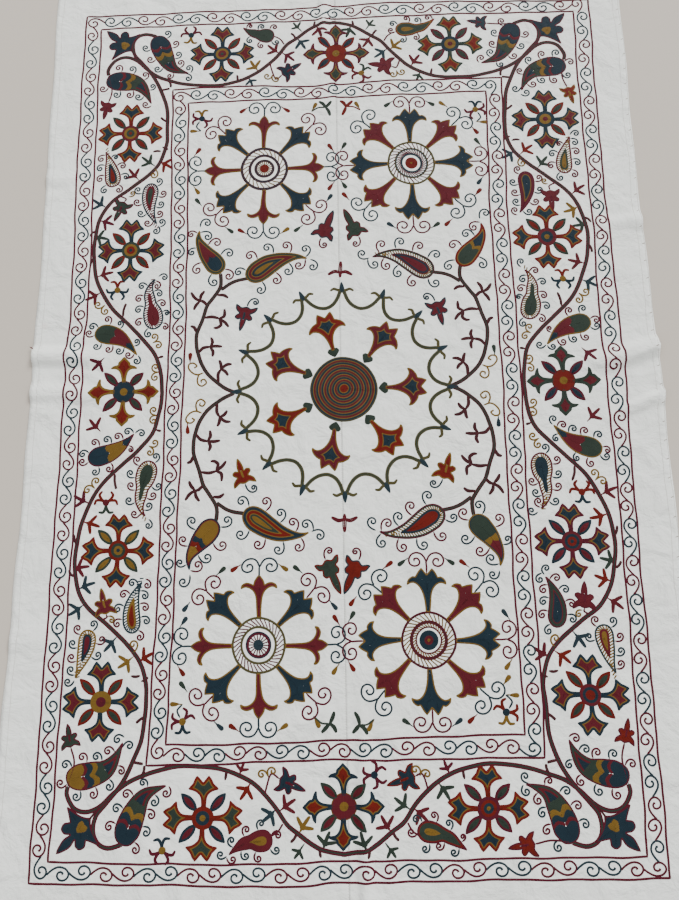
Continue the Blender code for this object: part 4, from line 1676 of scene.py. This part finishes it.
# How far out of the knots' circle an arc lies, at these degrees from its first knot
SCALLOP = (
    (4, -0.2), (-9, 1.3), (-26, 3.0), (-41, 6.2), (-48, 11.25), (-41, 16.3), (-26, 19.5), (-9, 21.2),
    (4, 22.7),
)
ring_rows = []
spike = filled(outline_of(KNOT_SPIKE), "slate")
knot = spike + blade(KNOT_ARM, "olive", 2.3) + blade(np.array(KNOT_ARM) * (1, -1), "olive", 2.3)
arc = [polar(KNOT_RADIUS + rise, degree) for rise, degree in SCALLOP]
swag = stem_rows(arc, ("olive", "green", "olive"), spacing=2.7)
for k in range(KNOTS):
    heading = 360 * k / KNOTS
    x, y = np.array(MIDDLE) + polar(KNOT_RADIUS, heading)
    ring_rows += placed(knot, x, y, heading) + placed(swag, *MIDDLE, heading)
sewn("scalloped_ring", ring_rows)


# The middle: a disc of rings of chain stitch in stripes, with seven tulips about it, each on a small green
# heart and filled with rows inside a gold edge
DISC_RADIUS = 84
DISC_STRIPES = "olive", "navy", "navy", "gold", "rose", "rose"
TULIP = (
    (0, 5), (22, 7), (40, 12), (54, 21), (61, 32), (61, 41), (55, 50), (55, 50), (68, 47), (77, 39), (82, 31),
    (84, 24), (84, 24), (96, 22), (108, 18), (108, 18), (93, 0),
)
HEART = (0, 0), (9, 10), (17, 15), (24, 11), (25, 5), (25, 5), (20, 0)
TULIP_THREADS = "rose", "rose", "rust", "rose", "rust", "rose", "rust"
DISC_DOT = 10
TULIP_GAP = 19
HEART_GAP = 1

ring_tulip = filled(outline_of(TULIP), "gold petal petal petal petal gold navy")
heart = filled(outline_of(HEART), "green")
middle_rows = []
for k, radius in enumerate(np.arange(DISC_RADIUS - FIRST_ROW, 2.0, -PITCH)):
    thread = DISC_STRIPES[k % len(DISC_STRIPES)] if radius > DISC_DOT else "rust"
    middle_rows.append(ring(radius, thread, x=MIDDLE[0], y=MIDDLE[1]))
for k, thread in enumerate(TULIP_THREADS):
    heading = 360 * k / len(TULIP_THREADS) + 1
    x, y = np.array(MIDDLE) + polar(DISC_RADIUS + TULIP_GAP, heading)
    middle_rows += placed(ring_tulip, x, y, heading, petal=thread)
    x, y = np.array(MIDDLE) + polar(DISC_RADIUS + HEART_GAP, heading)
    middle_rows += placed(heart, x, y, heading)
sewn("middle_disc", middle_rows)


# The studio: a pale floor under the cloth, soft light from beyond its top edge, and a view from nearly above
# its lower half
FLOOR_REACH = 6.0
FLOOR_DROP = 0.0004
FLOOR_COLOUR = (0.46, 0.41, 0.35, 1.0)
FLOOR_ROUGHNESS = 0.8
SUN_ENERGY = 4.4
SUN_SPREAD = radians(22)
SUN_TURN = (radians(61), 0.0, radians(150))
GLOW_POWER = 10.0
GLOW_SIZE = 1.6
GLOW_PLACE = (-0.6, 2.5, 1.9)
GLOW_TURN = (radians(-53), 0.0, radians(13))
ROOM_COLOUR = (0.965, 0.97, 0.98, 1.0)
ROOM_LIGHT = 1.12
CAMERA_PLACE = (0.048, -0.473, 1.641)
CAMERA_TURN = (radians(10.94), radians(1.84), radians(-0.79))
CAMERA_LENS = 27.08
FILM = 36.0


def stood(name, data, place=(0.0, 0.0, 0.0), turn=(0.0, 0.0, 0.0)):
    """An object put into the scene at its place and turned."""
    thing = bpy.data.objects.new(name, data)
    thing.location = place
    thing.rotation_euler = turn
    bpy.context.scene.collection.objects.link(thing)
    return thing


floor_mesh = bpy.data.meshes.new("pale_floor")
plane = bmesh.new()
bmesh.ops.create_grid(plane, x_segments=1, y_segments=1, size=FLOOR_REACH)
bmesh.ops.translate(plane, verts=plane.verts, vec=(0.0, 0.0, -FLOOR_DROP))
plane.to_mesh(floor_mesh)
plane.free()
floor_paint = bpy.data.materials.new("pale_floor")
floor_paint.use_nodes = True
paint_shader = floor_paint.node_tree.nodes["Principled BSDF"]
paint_shader.inputs["Base Color"].default_value = FLOOR_COLOUR
paint_shader.inputs["Roughness"].default_value = FLOOR_ROUGHNESS
floor_mesh.materials.append(floor_paint)
stood("pale_floor", floor_mesh)

sun = bpy.data.lights.new("window_light", "SUN")
sun.energy = SUN_ENERGY
sun.angle = SUN_SPREAD
stood("window_light", sun, turn=SUN_TURN)
glow = bpy.data.lights.new("window_glow", "AREA")
glow.energy = GLOW_POWER
glow.size = GLOW_SIZE
stood("window_glow", glow, GLOW_PLACE, GLOW_TURN)

room = bpy.data.worlds.new("studio")
room.use_nodes = True
sky = room.node_tree.nodes["Background"]
sky.inputs["Color"].default_value = ROOM_COLOUR
sky.inputs["Strength"].default_value = ROOM_LIGHT
bpy.context.scene.world = room

lens = bpy.data.cameras.new("camera")
lens.lens = CAMERA_LENS
lens.sensor_width = FILM
bpy.context.scene.camera = stood("camera", lens, CAMERA_PLACE, CAMERA_TURN)
